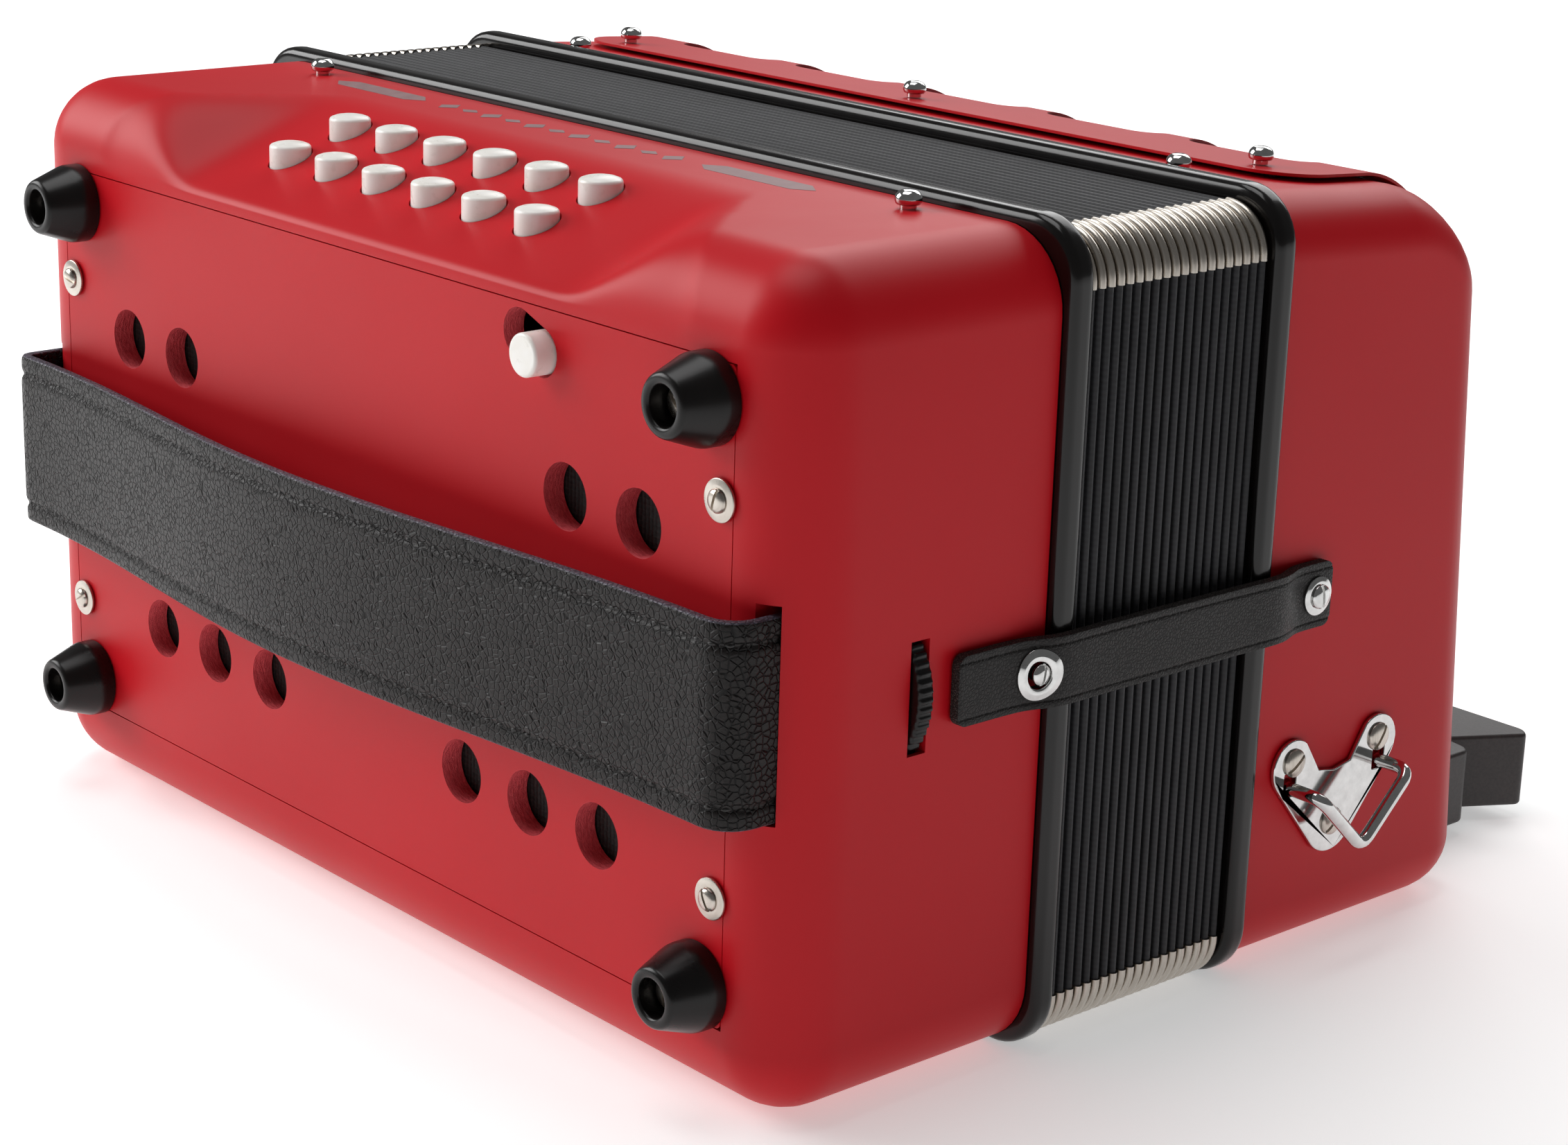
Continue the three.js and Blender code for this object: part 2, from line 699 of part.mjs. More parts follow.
// The three-lobed plate as [y, z] pairs, its notch towards the front.
function bracketOutline() {
  const lobes = [
    { y: BRACKET.y + 16, z: 51.2, radius: 7.2, from: -40, to: 130 },
    { y: BRACKET.y - 16, z: 51.2, radius: 7.2, from: 50, to: 220 },
    { y: BRACKET.y, z: 35, radius: 9, from: 222, to: 318 },
  ];
  const outline = [];
  const steps = 6;
  for (const { y, z, radius, from, to } of lobes) {
    for (let step = 0; step <= steps; step++) {
      const angle = THREE.MathUtils.degToRad(from + ((to - from) * step) / steps);
      outline.push([y + radius * Math.cos(angle), z + radius * Math.sin(angle)]);
    }
    if (from < 0) outline.push([BRACKET.y + 6, 48.6], [BRACKET.y, 47.4], [BRACKET.y - 6, 48.6]);
  }
  return outline;
}

function ringTube(sign) {
  const inner = sign * (HALF + GAP + BRACKET.thick / 2);
  const outer = sign * (HALF + RING.reach);
  const [y, z, bend] = [BRACKET.y, BRACKET.z, 3.5];
  const path = new THREE.CurvePath();
  const at = (x, side, height) => new THREE.Vector3(x, y + side, height);
  const half = RING.half;
  const low = z - RING.drop;
  const corners = [at(outer, -half, z), at(outer, 0, low), at(outer, half, z)];
  const stops = [at(inner, -half, z), ...corners, at(inner, half, z)];
  let from = stops[0];
  corners.forEach((corner, index) => {
    const back = corner.clone().lerp(stops[index], bend / corner.distanceTo(stops[index]));
    const on = corner.clone().lerp(stops[index + 2], bend / corner.distanceTo(stops[index + 2]));
    path.add(new THREE.LineCurve3(from, back));
    path.add(new THREE.QuadraticBezierCurve3(back, corner, on));
    from = on;
  });
  path.add(new THREE.LineCurve3(from, stops.at(-1)));
  const section = [];
  const sides = 8;
  for (let i = 0; i < sides; i++) {
    const angle = (2 * Math.PI * i) / sides;
    section.push(new THREE.Vector2(RING.wire * Math.cos(angle), RING.wire * Math.sin(angle)));
  }
  const options = { steps: 30, extrudePath: path, bevelEnabled: false };
  return solid(new THREE.ExtrudeGeometry(new THREE.Shape(section), options));
}

function bracketPlate(sign) {
  const near = HALF + GAP;
  const far = near + BRACKET.thick;
  const plate = sidePrism(bracketOutline(), sign > 0 ? near : -far, sign > 0 ? far : -near);
  const tools = [];
  for (const side of [-1, 1]) {
    const slot = [BRACKET.y + side * RING.half, BRACKET.z];
    const wide = RING.wire + 0.5;
    const low = [sign > 0 ? near - 1 : -far - 1, slot[0] - wide, slot[1] - wide];
    const high = [sign > 0 ? far + 1 : -near + 1, slot[0] + wide, slot[1] + wide + 1.2];
    tools.push(box(low, high));
  }
  const screws = [
    [16, 52.6],
    [-16, 52.6],
    [0, 34],
  ].map(([side, z]) => {
    const profile = [
      [0, 0],
      [2.9, 0],
      [2.6, 0.8],
      [0, 1.2],
    ];
    return turned(profile, [sign * (far - 0.2), BRACKET.y + side, z], [sign, 0, 0]);
  });
  return sum([cut(plate, tools), ...screws]);
}

for (const { name, sign } of SIDES) {
  add("strap_bracket_" + name, bracketPlate(sign), NICKEL);
  add("strap_ring_" + name, ringTube(sign), NICKEL);
}

// ---------------------------------------------------------------- closing straps and studs

const CLOSER = { from: 46.5, to: 171, half: 8.1, thick: 2.4, studY: 70.1, eyelet: 3.4 };

// The side view of a closing strap as [x, y] pairs: it climbs over both bellows frames.
function closerOutline(sign) {
  const low = HALF + GAP;
  const over = HALF + FRAME_PROUD + GAP;
  const near = [
    [low + 0.4, CLOSER.from],
    [low + 0.4, CLOSER.studY - 6],
    [over, bassFrameY - 1.5],
    [over, TREBLE_START + 1.5],
    [low + 0.2, TREBLE_START + 10],
    [low + 0.2, CLOSER.to],
  ];
  const far = near.map(([x, y]) => [x + CLOSER.thick, y]).reverse();
  const outline = [...near, ...far].map(([x, y]) => [sign * x, y]);
  return outline;
}

function closingStrap(sign) {
  const high = MIDDLE_Z + CLOSER.half;
  const low = MIDDLE_Z - CLOSER.half;
  const plan = roundedRectangle(CLOSER.from, CLOSER.to, low, high, 5, 3);
  const reach = HALF + 12;
  const window = sidePrism(plan, sign > 0 ? HALF : -reach, sign > 0 ? reach : -HALF);
  const hole = rod(CLOSER.eyelet, [sign * HALF, CLOSER.studY, MIDDLE_Z], [sign, 0, 0], 12, 16);
  return uprightPrism(closerOutline(sign), low, high).intersect(window).subtract(hole);
}

const STUD_PROFILE = [
  [0, 0],
  [2.4, 0],
  [2.4, 4.4],
  [2, 5.1],
  [0, 5.5],
];
for (const { name, sign } of SIDES) {
  add("closing_strap_" + name, closingStrap(sign), LEATHER);
  const place = [sign * (HALF + GAP), CLOSER.studY, MIDDLE_Z];
  add("closing_stud_" + name, turned(STUD_PROFILE, place, [sign, 0, 0]), NICKEL);
}

// ---------------------------------------------------------------- placing

const lowestY = -(STRAP.stand + STRAP.rise);
accordion.position.set(0, -(lowestY + BOARD.outer) / 2, 0);

export default accordion;
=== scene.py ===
# %% [markdown]
# # A three-row button accordion
# The imported CAD model is the fixed frame of this scene: every piece below is placed from it, and most ride on
# one of its bodies. Lengths in this script are millimetres, measured as on the maker's bench: X along the
# length of the instrument, Y from the face of the bass end plate towards the treble end, Z up from its
# back. One function turns such a place into metres in the frame. Reading the two starting faces from the
# frame means that no piece has to be fitted by eye.

import math

import bmesh
import bpy
import numpy as np
from mathutils import Matrix, Vector


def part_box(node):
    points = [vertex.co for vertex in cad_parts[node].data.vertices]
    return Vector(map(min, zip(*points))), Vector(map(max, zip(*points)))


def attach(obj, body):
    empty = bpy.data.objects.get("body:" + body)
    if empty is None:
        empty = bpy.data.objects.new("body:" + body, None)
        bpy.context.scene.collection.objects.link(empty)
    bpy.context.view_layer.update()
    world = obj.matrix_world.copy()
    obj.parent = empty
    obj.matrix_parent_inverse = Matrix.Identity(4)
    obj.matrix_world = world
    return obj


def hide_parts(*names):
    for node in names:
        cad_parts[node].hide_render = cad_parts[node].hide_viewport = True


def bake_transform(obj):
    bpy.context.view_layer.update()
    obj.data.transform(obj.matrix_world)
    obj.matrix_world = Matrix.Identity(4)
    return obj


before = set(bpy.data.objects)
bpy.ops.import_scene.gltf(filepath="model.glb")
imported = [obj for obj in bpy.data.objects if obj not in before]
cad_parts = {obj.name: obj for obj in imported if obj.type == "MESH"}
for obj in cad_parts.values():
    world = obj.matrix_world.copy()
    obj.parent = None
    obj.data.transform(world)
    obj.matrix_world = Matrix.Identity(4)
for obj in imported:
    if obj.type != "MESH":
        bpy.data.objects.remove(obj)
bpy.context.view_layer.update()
END_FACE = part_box("bass_end_plate")[0][1]
BACK_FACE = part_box("bass_case")[0][2]


def put(x, y, z):
    return Vector((x / 1000, y / 1000 + END_FACE, z / 1000 + BACK_FACE))


def take(place):
    return (place[0] * 1000, (place[1] - END_FACE) * 1000, (place[2] - BACK_FACE) * 1000)


# %% [markdown]
# Every surface is drawn as a shape first: a list of points and a list of faces. Most of the instrument is
# rounded boxes, bands round boxes and turned pieces, so three ways of drawing cover nearly all of it: a loft
# through rings of points, a profile turned round a line, and a slab that is bent afterwards. Blender has
# primitives and modifiers for all three, but code keeps each edge radius a named length.

# %% Shapes from rings
def ring_walls(count, rings, wrap=False):
    faces = []
    for level in range(rings if wrap else rings - 1):
        low, high = level * count, ((level + 1) % rings) * count
        faces += [(low + i, low + (i + 1) % count, high + (i + 1) % count, high + i) for i in range(count)]
    return faces


def loft(rings, wrap=False):
    count = len(rings[0])
    faces = ring_walls(count, len(rings), wrap)
    if not wrap:
        last = (len(rings) - 1) * count
        faces += [tuple(range(count)), tuple(last + i for i in range(count))]
    return [point for ring in rings for point in ring], faces


def together(shapes):
    points, faces = [], []
    for some_points, some_faces in shapes:
        start = len(points)
        points += some_points
        faces += [tuple(start + i for i in face) for face in some_faces]
    return points, faces


def turned(profile, place, way, sides=32, closed=False):
    way, place = Vector(way).normalized(), Vector(place)
    across = way.orthogonal().normalized()
    over = way.cross(across)
    points, rings, faces = [], [], []
    for radius, height in profile:
        turns = sides if radius > 0 else 1
        rings.append([len(points) + i for i in range(turns)])
        for i in range(turns):
            angle = 2 * math.pi * i / sides
            arm = across * (radius * math.cos(angle)) + over * (radius * math.sin(angle))
            points.append(tuple(place + way * height + arm))
    for low, high in zip(rings, rings[1:] + (rings[:1] if closed else [])):
        for i in range(sides):
            corner = [low[i % len(low)], low[(i + 1) % sides % len(low)]]
            corner += [high[(i + 1) % sides % len(high)], high[i % len(high)]]
            faces.append(tuple(dict.fromkeys(corner)))
    return points, faces


def rod_profile(radius, low, high):
    """The profile of a plain round rod or drill, for turning."""
    return [(0, low), (radius, low), (radius, high), (0, high)]


def brick(low, high):
    corners = ((low[1], low[2]), (high[1], low[2]), (high[1], high[2]), (low[1], high[2]))
    return loft([[(x, y, z) for y, z in corners] for x in (low[0], high[0])])


print("a brick has", len(brick((0, 0, 0), (1, 1, 1))[1]), "faces")

# %% [markdown]
# Nothing on a well made case has a truly sharp edge, and it is the thin light along a rounded edge that makes
# it look solid. These helpers round the corners of an outline, with a chosen number of steps.

# %% Rounded outlines
def arc(centre, radius, start, end, steps):
    turns = [math.radians(start + (end - start) * i / steps) for i in range(steps + 1)]
    return [(centre[0] + radius * math.cos(t), centre[1] + radius * math.sin(t)) for t in turns]


def rounded_box(left, right, low, high, radius, steps=10, along=1, up=1):
    """Outline of (x, z) pairs. along and up are the number of parts of each straight side."""
    centres = [(right - radius, low + radius, -90), (right - radius, high - radius, 0),
               (left + radius, high - radius, 90), (left + radius, low + radius, 180)]
    outline = []
    for side, (x, z, start) in enumerate(centres):
        outline += arc((x, z), radius, start, start + 90, steps)
        parts = up if side % 2 == 0 else along
        after = centres[(side + 1) % 4]
        ahead = arc(after[:2], radius, after[2], after[2] + 90, 1)[0]
        here = outline[-1]
        outline += [tuple(np.add(here, np.subtract(ahead, here) * i / parts)) for i in range(1, parts)]
    return outline


def filleted(outline, radius, steps=4, closed=True):
    """The same outline with each corner rounded to the radius, as far as its sides allow."""
    result = []
    for i, here in enumerate(outline):
        before, after = outline[i - 1], outline[(i + 1) % len(outline)]
        if not closed and i in (0, len(outline) - 1):
            result.append(tuple(here))
            continue
        here, back, on = Vector(here), Vector(before), Vector(after)
        reach = min(radius, (back - here).length * 0.45, (on - here).length * 0.45)
        start = here + (back - here).normalized() * reach
        end = here + (on - here).normalized() * reach
        for step in range(steps + 1):
            share = step / steps
            bent = start * (1 - share) ** 2 + here * (2 * share * (1 - share)) + end * share ** 2
            result.append(tuple(bent))
    return result


def in_from_end(radius, distance):
    """How far a rounded edge has drawn in at a distance from the end face."""
    inside = max(radius - distance, 0)
    return radius - math.sqrt(radius * radius - inside * inside)


print("a rounded box outline has", len(rounded_box(-10, 10, 0, 10, 2)), "points")

# %% [markdown]
# A shape becomes a Blender object here. Holes and slots are routed or drilled in the real case, so they are
# cut with Boolean modifiers, and the arris is then taken off with a Bevel modifier. Each modifier is applied
# at once, which keeps the finished mesh plain.

# %% Pieces
def draw(name, shape, finish=None, raw=False):
    mesh = bpy.data.meshes.new(name)
    points = [tuple(c / 1000 for c in p) if raw else put(*p) for p in shape[0]]
    mesh.from_pydata(points, [], shape[1])
    drawn = bmesh.new()
    drawn.from_mesh(mesh)
    bmesh.ops.recalc_face_normals(drawn, faces=drawn.faces)
    drawn.to_mesh(mesh)
    drawn.free()
    if finish:
        mesh.materials.append(finish)
    piece = bpy.data.objects.new(name, mesh)
    bpy.context.scene.collection.objects.link(piece)
    return piece


def settle(piece):
    """Applies the modifiers of a piece."""
    graph = bpy.context.evaluated_depsgraph_get()
    shaped = bpy.data.meshes.new_from_object(piece.evaluated_get(graph))
    piece.modifiers.clear()
    old, piece.data = piece.data, shaped
    shaped.name = old.name + "_cut"
    bpy.data.meshes.remove(old)


def carve(piece, *shapes, way="DIFFERENCE", solver="MANIFOLD", raw=False):
    tool = draw("cutter", together(shapes), raw=raw)
    boolean = piece.modifiers.new("cut", "BOOLEAN")
    boolean.operation = way
    boolean.solver = solver
    boolean.object = tool
    finishes = list(piece.data.materials)
    settle(piece)
    piece.data.materials.clear()
    for finish in finishes:
        piece.data.materials.append(finish)
    piece.data.polygons.foreach_set("material_index", [0] * len(piece.data.polygons))
    bpy.data.objects.remove(tool)


def ease(piece, width, segments=2, over=40):
    """Rounds the sharp edges of a piece."""
    bevel = piece.modifiers.new("edges", "BEVEL")
    bevel.width = width / 1000
    bevel.segments = segments
    bevel.limit_method = "ANGLE"
    bevel.angle_limit = math.radians(over)
    bevel.miter_outer = "MITER_ARC"
    settle(piece)


def fit(piece, body, slot, *nodes, crease=38):
    """Shades a piece, fixes it to its body and hides the CAD nodes that it stands for. The slot is not used."""
    piece.data.shade_smooth()
    piece.data.set_sharp_from_angle(angle=math.radians(crease))
    if body:
        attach(piece, body)
        even = piece.modifiers.new("even_shading", "WEIGHTED_NORMAL")
        even.weight = 100
        even.keep_sharp = True
    if nodes:
        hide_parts(*nodes)
    print(piece.name, len(piece.data.polygons), "faces")
    return piece


# %% [markdown]
# The straps and the grille are cut flat and then bent round the case, and the same order works here: a slab
# is drawn flat, its holes are cut while it is flat, and then every point is moved along the bend.

# %% Slabs that are bent afterwards
def slab(lengths, widths, low, high):
    """A flat slab with points at the given places along and across it, low and high in thickness."""
    outline = [(w, low) for w in widths] + [(w, high) for w in reversed(widths)]
    return loft([[(s, w, t) for w, t in outline] for s in lengths])


def bend(piece, where):
    """Moves each point from (along, across, thickness) to where() says, in bench millimetres."""
    for vertex in piece.data.vertices:
        vertex.co = put(*where(*(c * 1000 for c in vertex.co)))
    shaped = bmesh.new()
    shaped.from_mesh(piece.data)
    bmesh.ops.recalc_face_normals(shaped, faces=shaped.faces)
    shaped.to_mesh(piece.data)
    shaped.free()


def spread(start, end, pitch):
    parts = max(1, round(abs(end - start) / pitch))
    return [start + (end - start) * i / parts for i in range(parts + 1)]


class Route:
    """A path through points, read by its length: place and direction."""

    def __init__(self, points):
        self.points = np.array(points, float)
        steps = np.linalg.norm(np.diff(self.points, axis=0), axis=1)
        self.marks = np.concatenate([[0], np.cumsum(steps)])
        self.length = self.marks[-1]

    def place(self, along):
        return np.array([np.interp(along, self.marks, column) for column in self.points.T])

    def way(self, along, reach=0.8):
        step = self.place(min(along + reach, self.length)) - self.place(max(along - reach, 0))
        return step / np.linalg.norm(step)


print("helpers ready")

# %% [markdown]
# ## Finishes
# Every finish starts from the real material and how its surface was made. Colours are written as sRGB hex
# values, as a paint chart gives them, and one function turns them to the linear values that the shader
# wants. One more function adds a node with its settings and its links, so each recipe reads like a list.

# %% Colour and node helpers
def linear(code):
    parts = [int(code[i:i + 2], 16) / 255 for i in (1, 3, 5)]
    return (*[c / 12.92 if c <= 0.04045 else ((c + 0.055) / 1.055) ** 2.4 for c in parts], 1)


def add_node(tree, kind, links=None, **settings):
    node = tree.nodes.new(kind)
    for name, value in settings.items():
        setattr(node, name, value)
    for name, value in (links or {}).items():
        if isinstance(value, bpy.types.NodeSocket):
            tree.links.new(value, node.inputs[name])
        else:
            node.inputs[name].default_value = value
    return node


def start_finish(name, **values):
    """A new material with its shader; returns the material, its tree, the shader and the place to draw on."""
    finish = bpy.data.materials.new(name)
    finish.use_nodes = True
    tree = finish.node_tree
    tree.nodes.clear()
    sockets = {key.replace("_", " ").title(): value for key, value in values.items()}
    written = {"Ior": "IOR", "Specular Ior Level": "Specular IOR Level"}
    sockets = {written.get(key, key): value for key, value in sockets.items()}
    shader = add_node(tree, "ShaderNodeBsdfPrincipled", sockets)
    add_node(tree, "ShaderNodeOutputMaterial", {"Surface": shader.outputs["BSDF"]})
    place = add_node(tree, "ShaderNodeTexCoord").outputs["Object"]
    return finish, tree, shader, place


def per_mm(size):
    """Texture scale for a pattern whose repeat is the given number of millimetres, in metres."""
    return 1000 / size


def two_tone(tree, factor, dark, light, low=0.35, high=0.65):
    ramp = add_node(tree, "ShaderNodeValToRGB", {"Fac": factor})
    ramp.color_ramp.elements[0].position, ramp.color_ramp.elements[1].position = low, high
    ramp.color_ramp.elements[0].color, ramp.color_ramp.elements[1].color = linear(dark), linear(light)
    return ramp.outputs["Color"]


def in_range(tree, factor, low, high):
    links = {"Value": factor, "To Min": low, "To Max": high}
    return add_node(tree, "ShaderNodeMapRange", links).outputs["Result"]


def relief(tree, shader, height, strength, depth_mm):
    links = {"Height": height, "Strength": strength, "Distance": depth_mm / 1000}
    bump = add_node(tree, "ShaderNodeBump", links)
    tree.links.new(bump.outputs["Normal"], shader.inputs["Normal"])


def noise(tree, place, size, detail=2, rough=0.5):
    links = {"Vector": place, "Scale": per_mm(size), "Detail": detail, "Roughness": rough}
    return add_node(tree, "ShaderNodeTexNoise", links).outputs["Fac"]


print("red in linear:", [round(c, 3) for c in linear("#B4202A")])

# %% [markdown]
# The case is wood sprayed with a satin polyester lacquer. A satin coat has a matting agent in it: it still
# has the gloss of lacquer at a low angle, but spreads each reflection wide. Spraying leaves a faint orange
# peel, here ripples about 2 mm across, and the colour drifts very slightly over a hand's width.

# %% Satin red lacquer
def lacquer(name, dark, light, roughness, peel=0.012):
    finish, tree, shader, place = start_finish(name, ior=1.5, specular_ior_level=0.22)
    cloud = noise(tree, place, 90, 1)
    tree.links.new(two_tone(tree, cloud, dark, light), shader.inputs["Base Color"])
    matt = noise(tree, place, 25, 3)
    tree.links.new(in_range(tree, matt, roughness - 0.03, roughness + 0.04), shader.inputs["Roughness"])
    relief(tree, shader, noise(tree, place, 2.2, 2), 0.5, peel)
    return finish


RED_LACQUER = lacquer("satin_red_lacquer", "#BE0A18", "#C40D1B", 0.42)
GRILLE_LACQUER = lacquer("satin_red_lacquer_on_metal", "#BC0A18", "#C20D1B", 0.38, 0.006)
print(RED_LACQUER.name, GRILLE_LACQUER.name)

# %% [markdown]
# The walls of the sound holes were routed, and the lacquer only fell into them as a thin coat. It sank into
# the torn fibres, so these walls are rough and duller than the face: coarse streaks and a strong relief.

# %% Routed edges under thin lacquer
def routed_lacquer():
    finish, tree, shader, place = start_finish("routed_wood_under_thin_lacquer", ior=1.5)
    squeeze = add_node(tree, "ShaderNodeMapping", {"Vector": place, "Scale": (1, 2.5, 1)}).outputs["Vector"]
    fibre = noise(tree, squeeze, 1.6, 6, 0.7)
    tree.links.new(two_tone(tree, fibre, "#C4303A", "#EE6068", 0.3, 0.7), shader.inputs["Base Color"])
    tree.links.new(in_range(tree, fibre, 0.7, 0.5), shader.inputs["Roughness"])
    relief(tree, shader, fibre, 0.9, 0.5)
    return finish


ROUTED = routed_lacquer()
print(ROUTED.name)

# %% [markdown]
# The bellows frames, feet and wheel are black and polished: the frames lacquered, the feet and wheel moulded
# in plastic. Polished black shows almost nothing but its reflections, so it is drawn nearly black with a low
# roughness, and with the soft waviness that polishing leaves so that those reflections are not ruled lines.

# %% Polished black
def polished_black(name, colour, roughness, wave_mm, wave_depth, coat=0.5):
    finish, tree, shader, place = start_finish(name, ior=1.5, specular_ior_level=0.3, coat_weight=coat,
                                               coat_roughness=0.08)
    shader.inputs["Base Color"].default_value = linear(colour)
    handled = noise(tree, place, 14, 4, 0.6)
    tree.links.new(in_range(tree, handled, roughness - 0.05, roughness + 0.1), shader.inputs["Roughness"])
    tint = two_tone(tree, handled, colour, "#141110", 0.3, 0.9)
    tree.links.new(tint, shader.inputs["Base Color"])
    relief(tree, shader, noise(tree, place, wave_mm, 2), 0.5, wave_depth)
    return finish


BLACK_LACQUER = polished_black("polished_black_lacquer", "#0A0808", 0.16, 9, 0.03, 0.15)
BLACK_PLASTIC = polished_black("moulded_black_plastic", "#0B0909", 0.26, 5, 0.015, 0.0)
print(BLACK_LACQUER.name, BLACK_PLASTIC.name)

# %% [markdown]
# The fingerboard is wood under a fine black textured paint, which feels like a very fine sandpaper. Its
# grain is near 0.3 mm, and it catches a broad grey light without any mirror image.

# %% Textured black paint
def textured_black():
    finish, tree, shader, place = start_finish("fine_textured_black_paint", ior=1.48)
    speck = noise(tree, place, 0.8, 3, 0.6)
    tree.links.new(two_tone(tree, speck, "#2B2727", "#3A3534", 0.3, 0.75), shader.inputs["Base Color"])
    tree.links.new(in_range(tree, noise(tree, place, 30, 3), 0.42, 0.52), shader.inputs["Roughness"])
    relief(tree, shader, speck, 0.6, 0.06)
    return finish


TEXTURED_BLACK = textured_black()
print(TEXTURED_BLACK.name)

# %% [markdown]
# The bellows are folded card covered with woven cotton tape. The weave is a plain one: threads over and
# under at about 0.5 mm, drawn here at 0.7 mm so that it still shows. Two crossed waves make the weave, and a
# noise breaks it into lighter and darker patches. The tape over the ridges is drawn a lighter grey than the
# card: this is partly wear and partly a painted highlight along each ridge.

# %% Woven cloths
def woven(name, dark, light, thread_mm, roughness, turns=(0, 0, 0), depth=0.12, sheen=0.3):
    finish, tree, shader, place = start_finish(name, ior=1.45, roughness=roughness, sheen_weight=sheen,
                                               sheen_roughness=0.5)
    turned_place = add_node(tree, "ShaderNodeMapping", {"Vector": place, "Rotation": turns}).outputs["Vector"]
    waves = []
    for direction in ("X", "Y", "Z"):
        links = {"Vector": turned_place, "Scale": per_mm(thread_mm) / 6.5, "Distortion": 0.4, "Detail": 1.0}
        waves.append(add_node(tree, "ShaderNodeTexWave", links, bands_direction=direction).outputs["Fac"])
    first = add_node(tree, "ShaderNodeMath", {0: waves[0], 1: waves[1]}, operation="ADD").outputs[0]
    both = add_node(tree, "ShaderNodeMath", {0: first, 1: waves[2]}, operation="ADD").outputs[0]
    third = add_node(tree, "ShaderNodeMath", {0: both, 1: 0.3333}, operation="MULTIPLY").outputs[0]
    # Lighter and darker patches. On the ridge tape they stand partly for wear and partly for a painted
    # highlight.
    wear_and_highlight_patches = noise(tree, place, 12, 4, 0.6)
    mixed = add_node(tree, "ShaderNodeMath", {0: third, 1: wear_and_highlight_patches}, operation="MULTIPLY").outputs[0]
    tree.links.new(two_tone(tree, mixed, dark, light, 0.1, 0.5), shader.inputs["Base Color"])
    relief(tree, shader, third, 0.7, depth)
    return finish


# The ridge tape is a lighter grey than the card. This is partly wear and partly a painted highlight along each
# ridge.
BELLOWS_TAPE = woven("black_cotton_tape", "#121215", "#26262A", 0.7, 0.6, sheen=0.1)
BELLOWS_CARD = woven("cloth_covered_card", "#0C0C0E", "#1A1A1D", 0.9, 0.8, sheen=0.1)
print(BELLOWS_TAPE.name, BELLOWS_CARD.name)

# %% [markdown]
# Behind the sound holes is a knitted black mesh that lets the sound out and keeps dust in. Its openings are
# near 1 mm apart: a cell pattern draws each opening as a pit with a brighter crossing of threads round it.

# %% Speaker mesh
def sound_mesh():
    finish, tree, shader, place = start_finish("knitted_black_mesh", ior=1.5, roughness=0.62)
    links = {"Vector": place, "Scale": per_mm(1.3), "Randomness": 0.15}
    cell = add_node(tree, "ShaderNodeTexVoronoi", links).outputs["Distance"]
    tree.links.new(two_tone(tree, cell, "#030303", "#2C2927", 0.45, 0.8), shader.inputs["Base Color"])
    relief(tree, shader, cell, 1.0, 0.3)
    return finish


SOUND_MESH = sound_mesh()
print(SOUND_MESH.name)

# %% [markdown]
# Buttons are turned from an ivory-coloured casein plastic and polished on a wheel. Light goes a little way
# into such a plastic and comes out warmer, which is what subsurface scattering draws.

# %% Ivory-coloured plastic
def ivory_plastic():
    finish, tree, shader, place = start_finish(
        "polished_ivory_plastic", ior=1.53, subsurface_weight=0.03, subsurface_radius=(1.0, 0.9, 0.8),
        subsurface_scale=0.001)
    cloud = noise(tree, place, 6, 3)
    tree.links.new(two_tone(tree, cloud, "#F4F0E8", "#FCFAF6", 0.3, 0.7), shader.inputs["Base Color"])
    tree.links.new(in_range(tree, noise(tree, place, 3, 3), 0.22, 0.36), shader.inputs["Roughness"])
    return finish


IVORY = ivory_plastic()
print(IVORY.name)

# %% [markdown]
# The hand strap is cowhide printed with a pebble grain and finished black. The pebbles are about 1.6 mm
# across: cells with dark creases between them, and a finer grain on top. Its rim is given a paler grey-lilac
# finish, which is a painted highlight along the edge. The closing straps are the same hide left smooth, so
# only a fine pore pattern stays, and their cut edges show the fibres.

# %% Leathers
def leather(name, dark, light, pebble_mm, depth, roughness, creases=(0.0, 0.25)):
    finish, tree, shader, place = start_finish(name, ior=1.5, specular_ior_level=0.24)
    links = {"Vector": place, "Scale": per_mm(pebble_mm), "Randomness": 0.95}
    cells = add_node(tree, "ShaderNodeTexVoronoi", links, feature="DISTANCE_TO_EDGE").outputs["Distance"]
    fine = noise(tree, place, pebble_mm * 0.4, 4, 0.6)
    links = {"Value": cells, "From Min": creases[0], "From Max": creases[1]}
    pebble = add_node(tree, "ShaderNodeMapRange", links, interpolation_type="SMOOTHSTEP").outputs["Result"]
    terms = {0: fine, 1: 0.35, 2: pebble}
    height = add_node(tree, "ShaderNodeMath", terms, operation="MULTIPLY_ADD").outputs[0]
    tree.links.new(two_tone(tree, height, dark, light, 0.2, 1.1), shader.inputs["Base Color"])
    tree.links.new(in_range(tree, height, roughness + 0.15, roughness - 0.05), shader.inputs["Roughness"])
    relief(tree, shader, height, 1.0, depth)
    return finish


PEBBLED = leather("pebbled_black_hide", "#080606", "#1A1615", 1.6, 0.32, 0.38, (0.0, 0.14))
SMOOTH_HIDE = leather("smooth_black_hide", "#120F0F", "#1D1A19", 0.9, 0.05, 0.38)
RAW_EDGE = leather("dyed_cut_hide_edge", "#1F1B1A", "#443E3C", 0.6, 0.2, 0.7)
# A paler grey-lilac finish for the hand strap's rim: a painted highlight along its edge.
RIM_PAINTED_HIGHLIGHT = leather("hide_rim_painted_highlight", "#3A3740", "#5A5662", 1.2, 0.12, 0.4)
print(PEBBLED.name, SMOOTH_HIDE.name, RAW_EDGE.name, RIM_PAINTED_HIGHLIGHT.name)

# %% [markdown]
# Three metals. The bellows corners are brass pressed to shape and nickel plated without buffing: warm grey
# and brushed along the fold. Most screws have the same plating. The brackets and pins are buffed and
# chromed, close to a mirror. The hidden lever, nut and rails are plain steel, as the lathe leaves it.

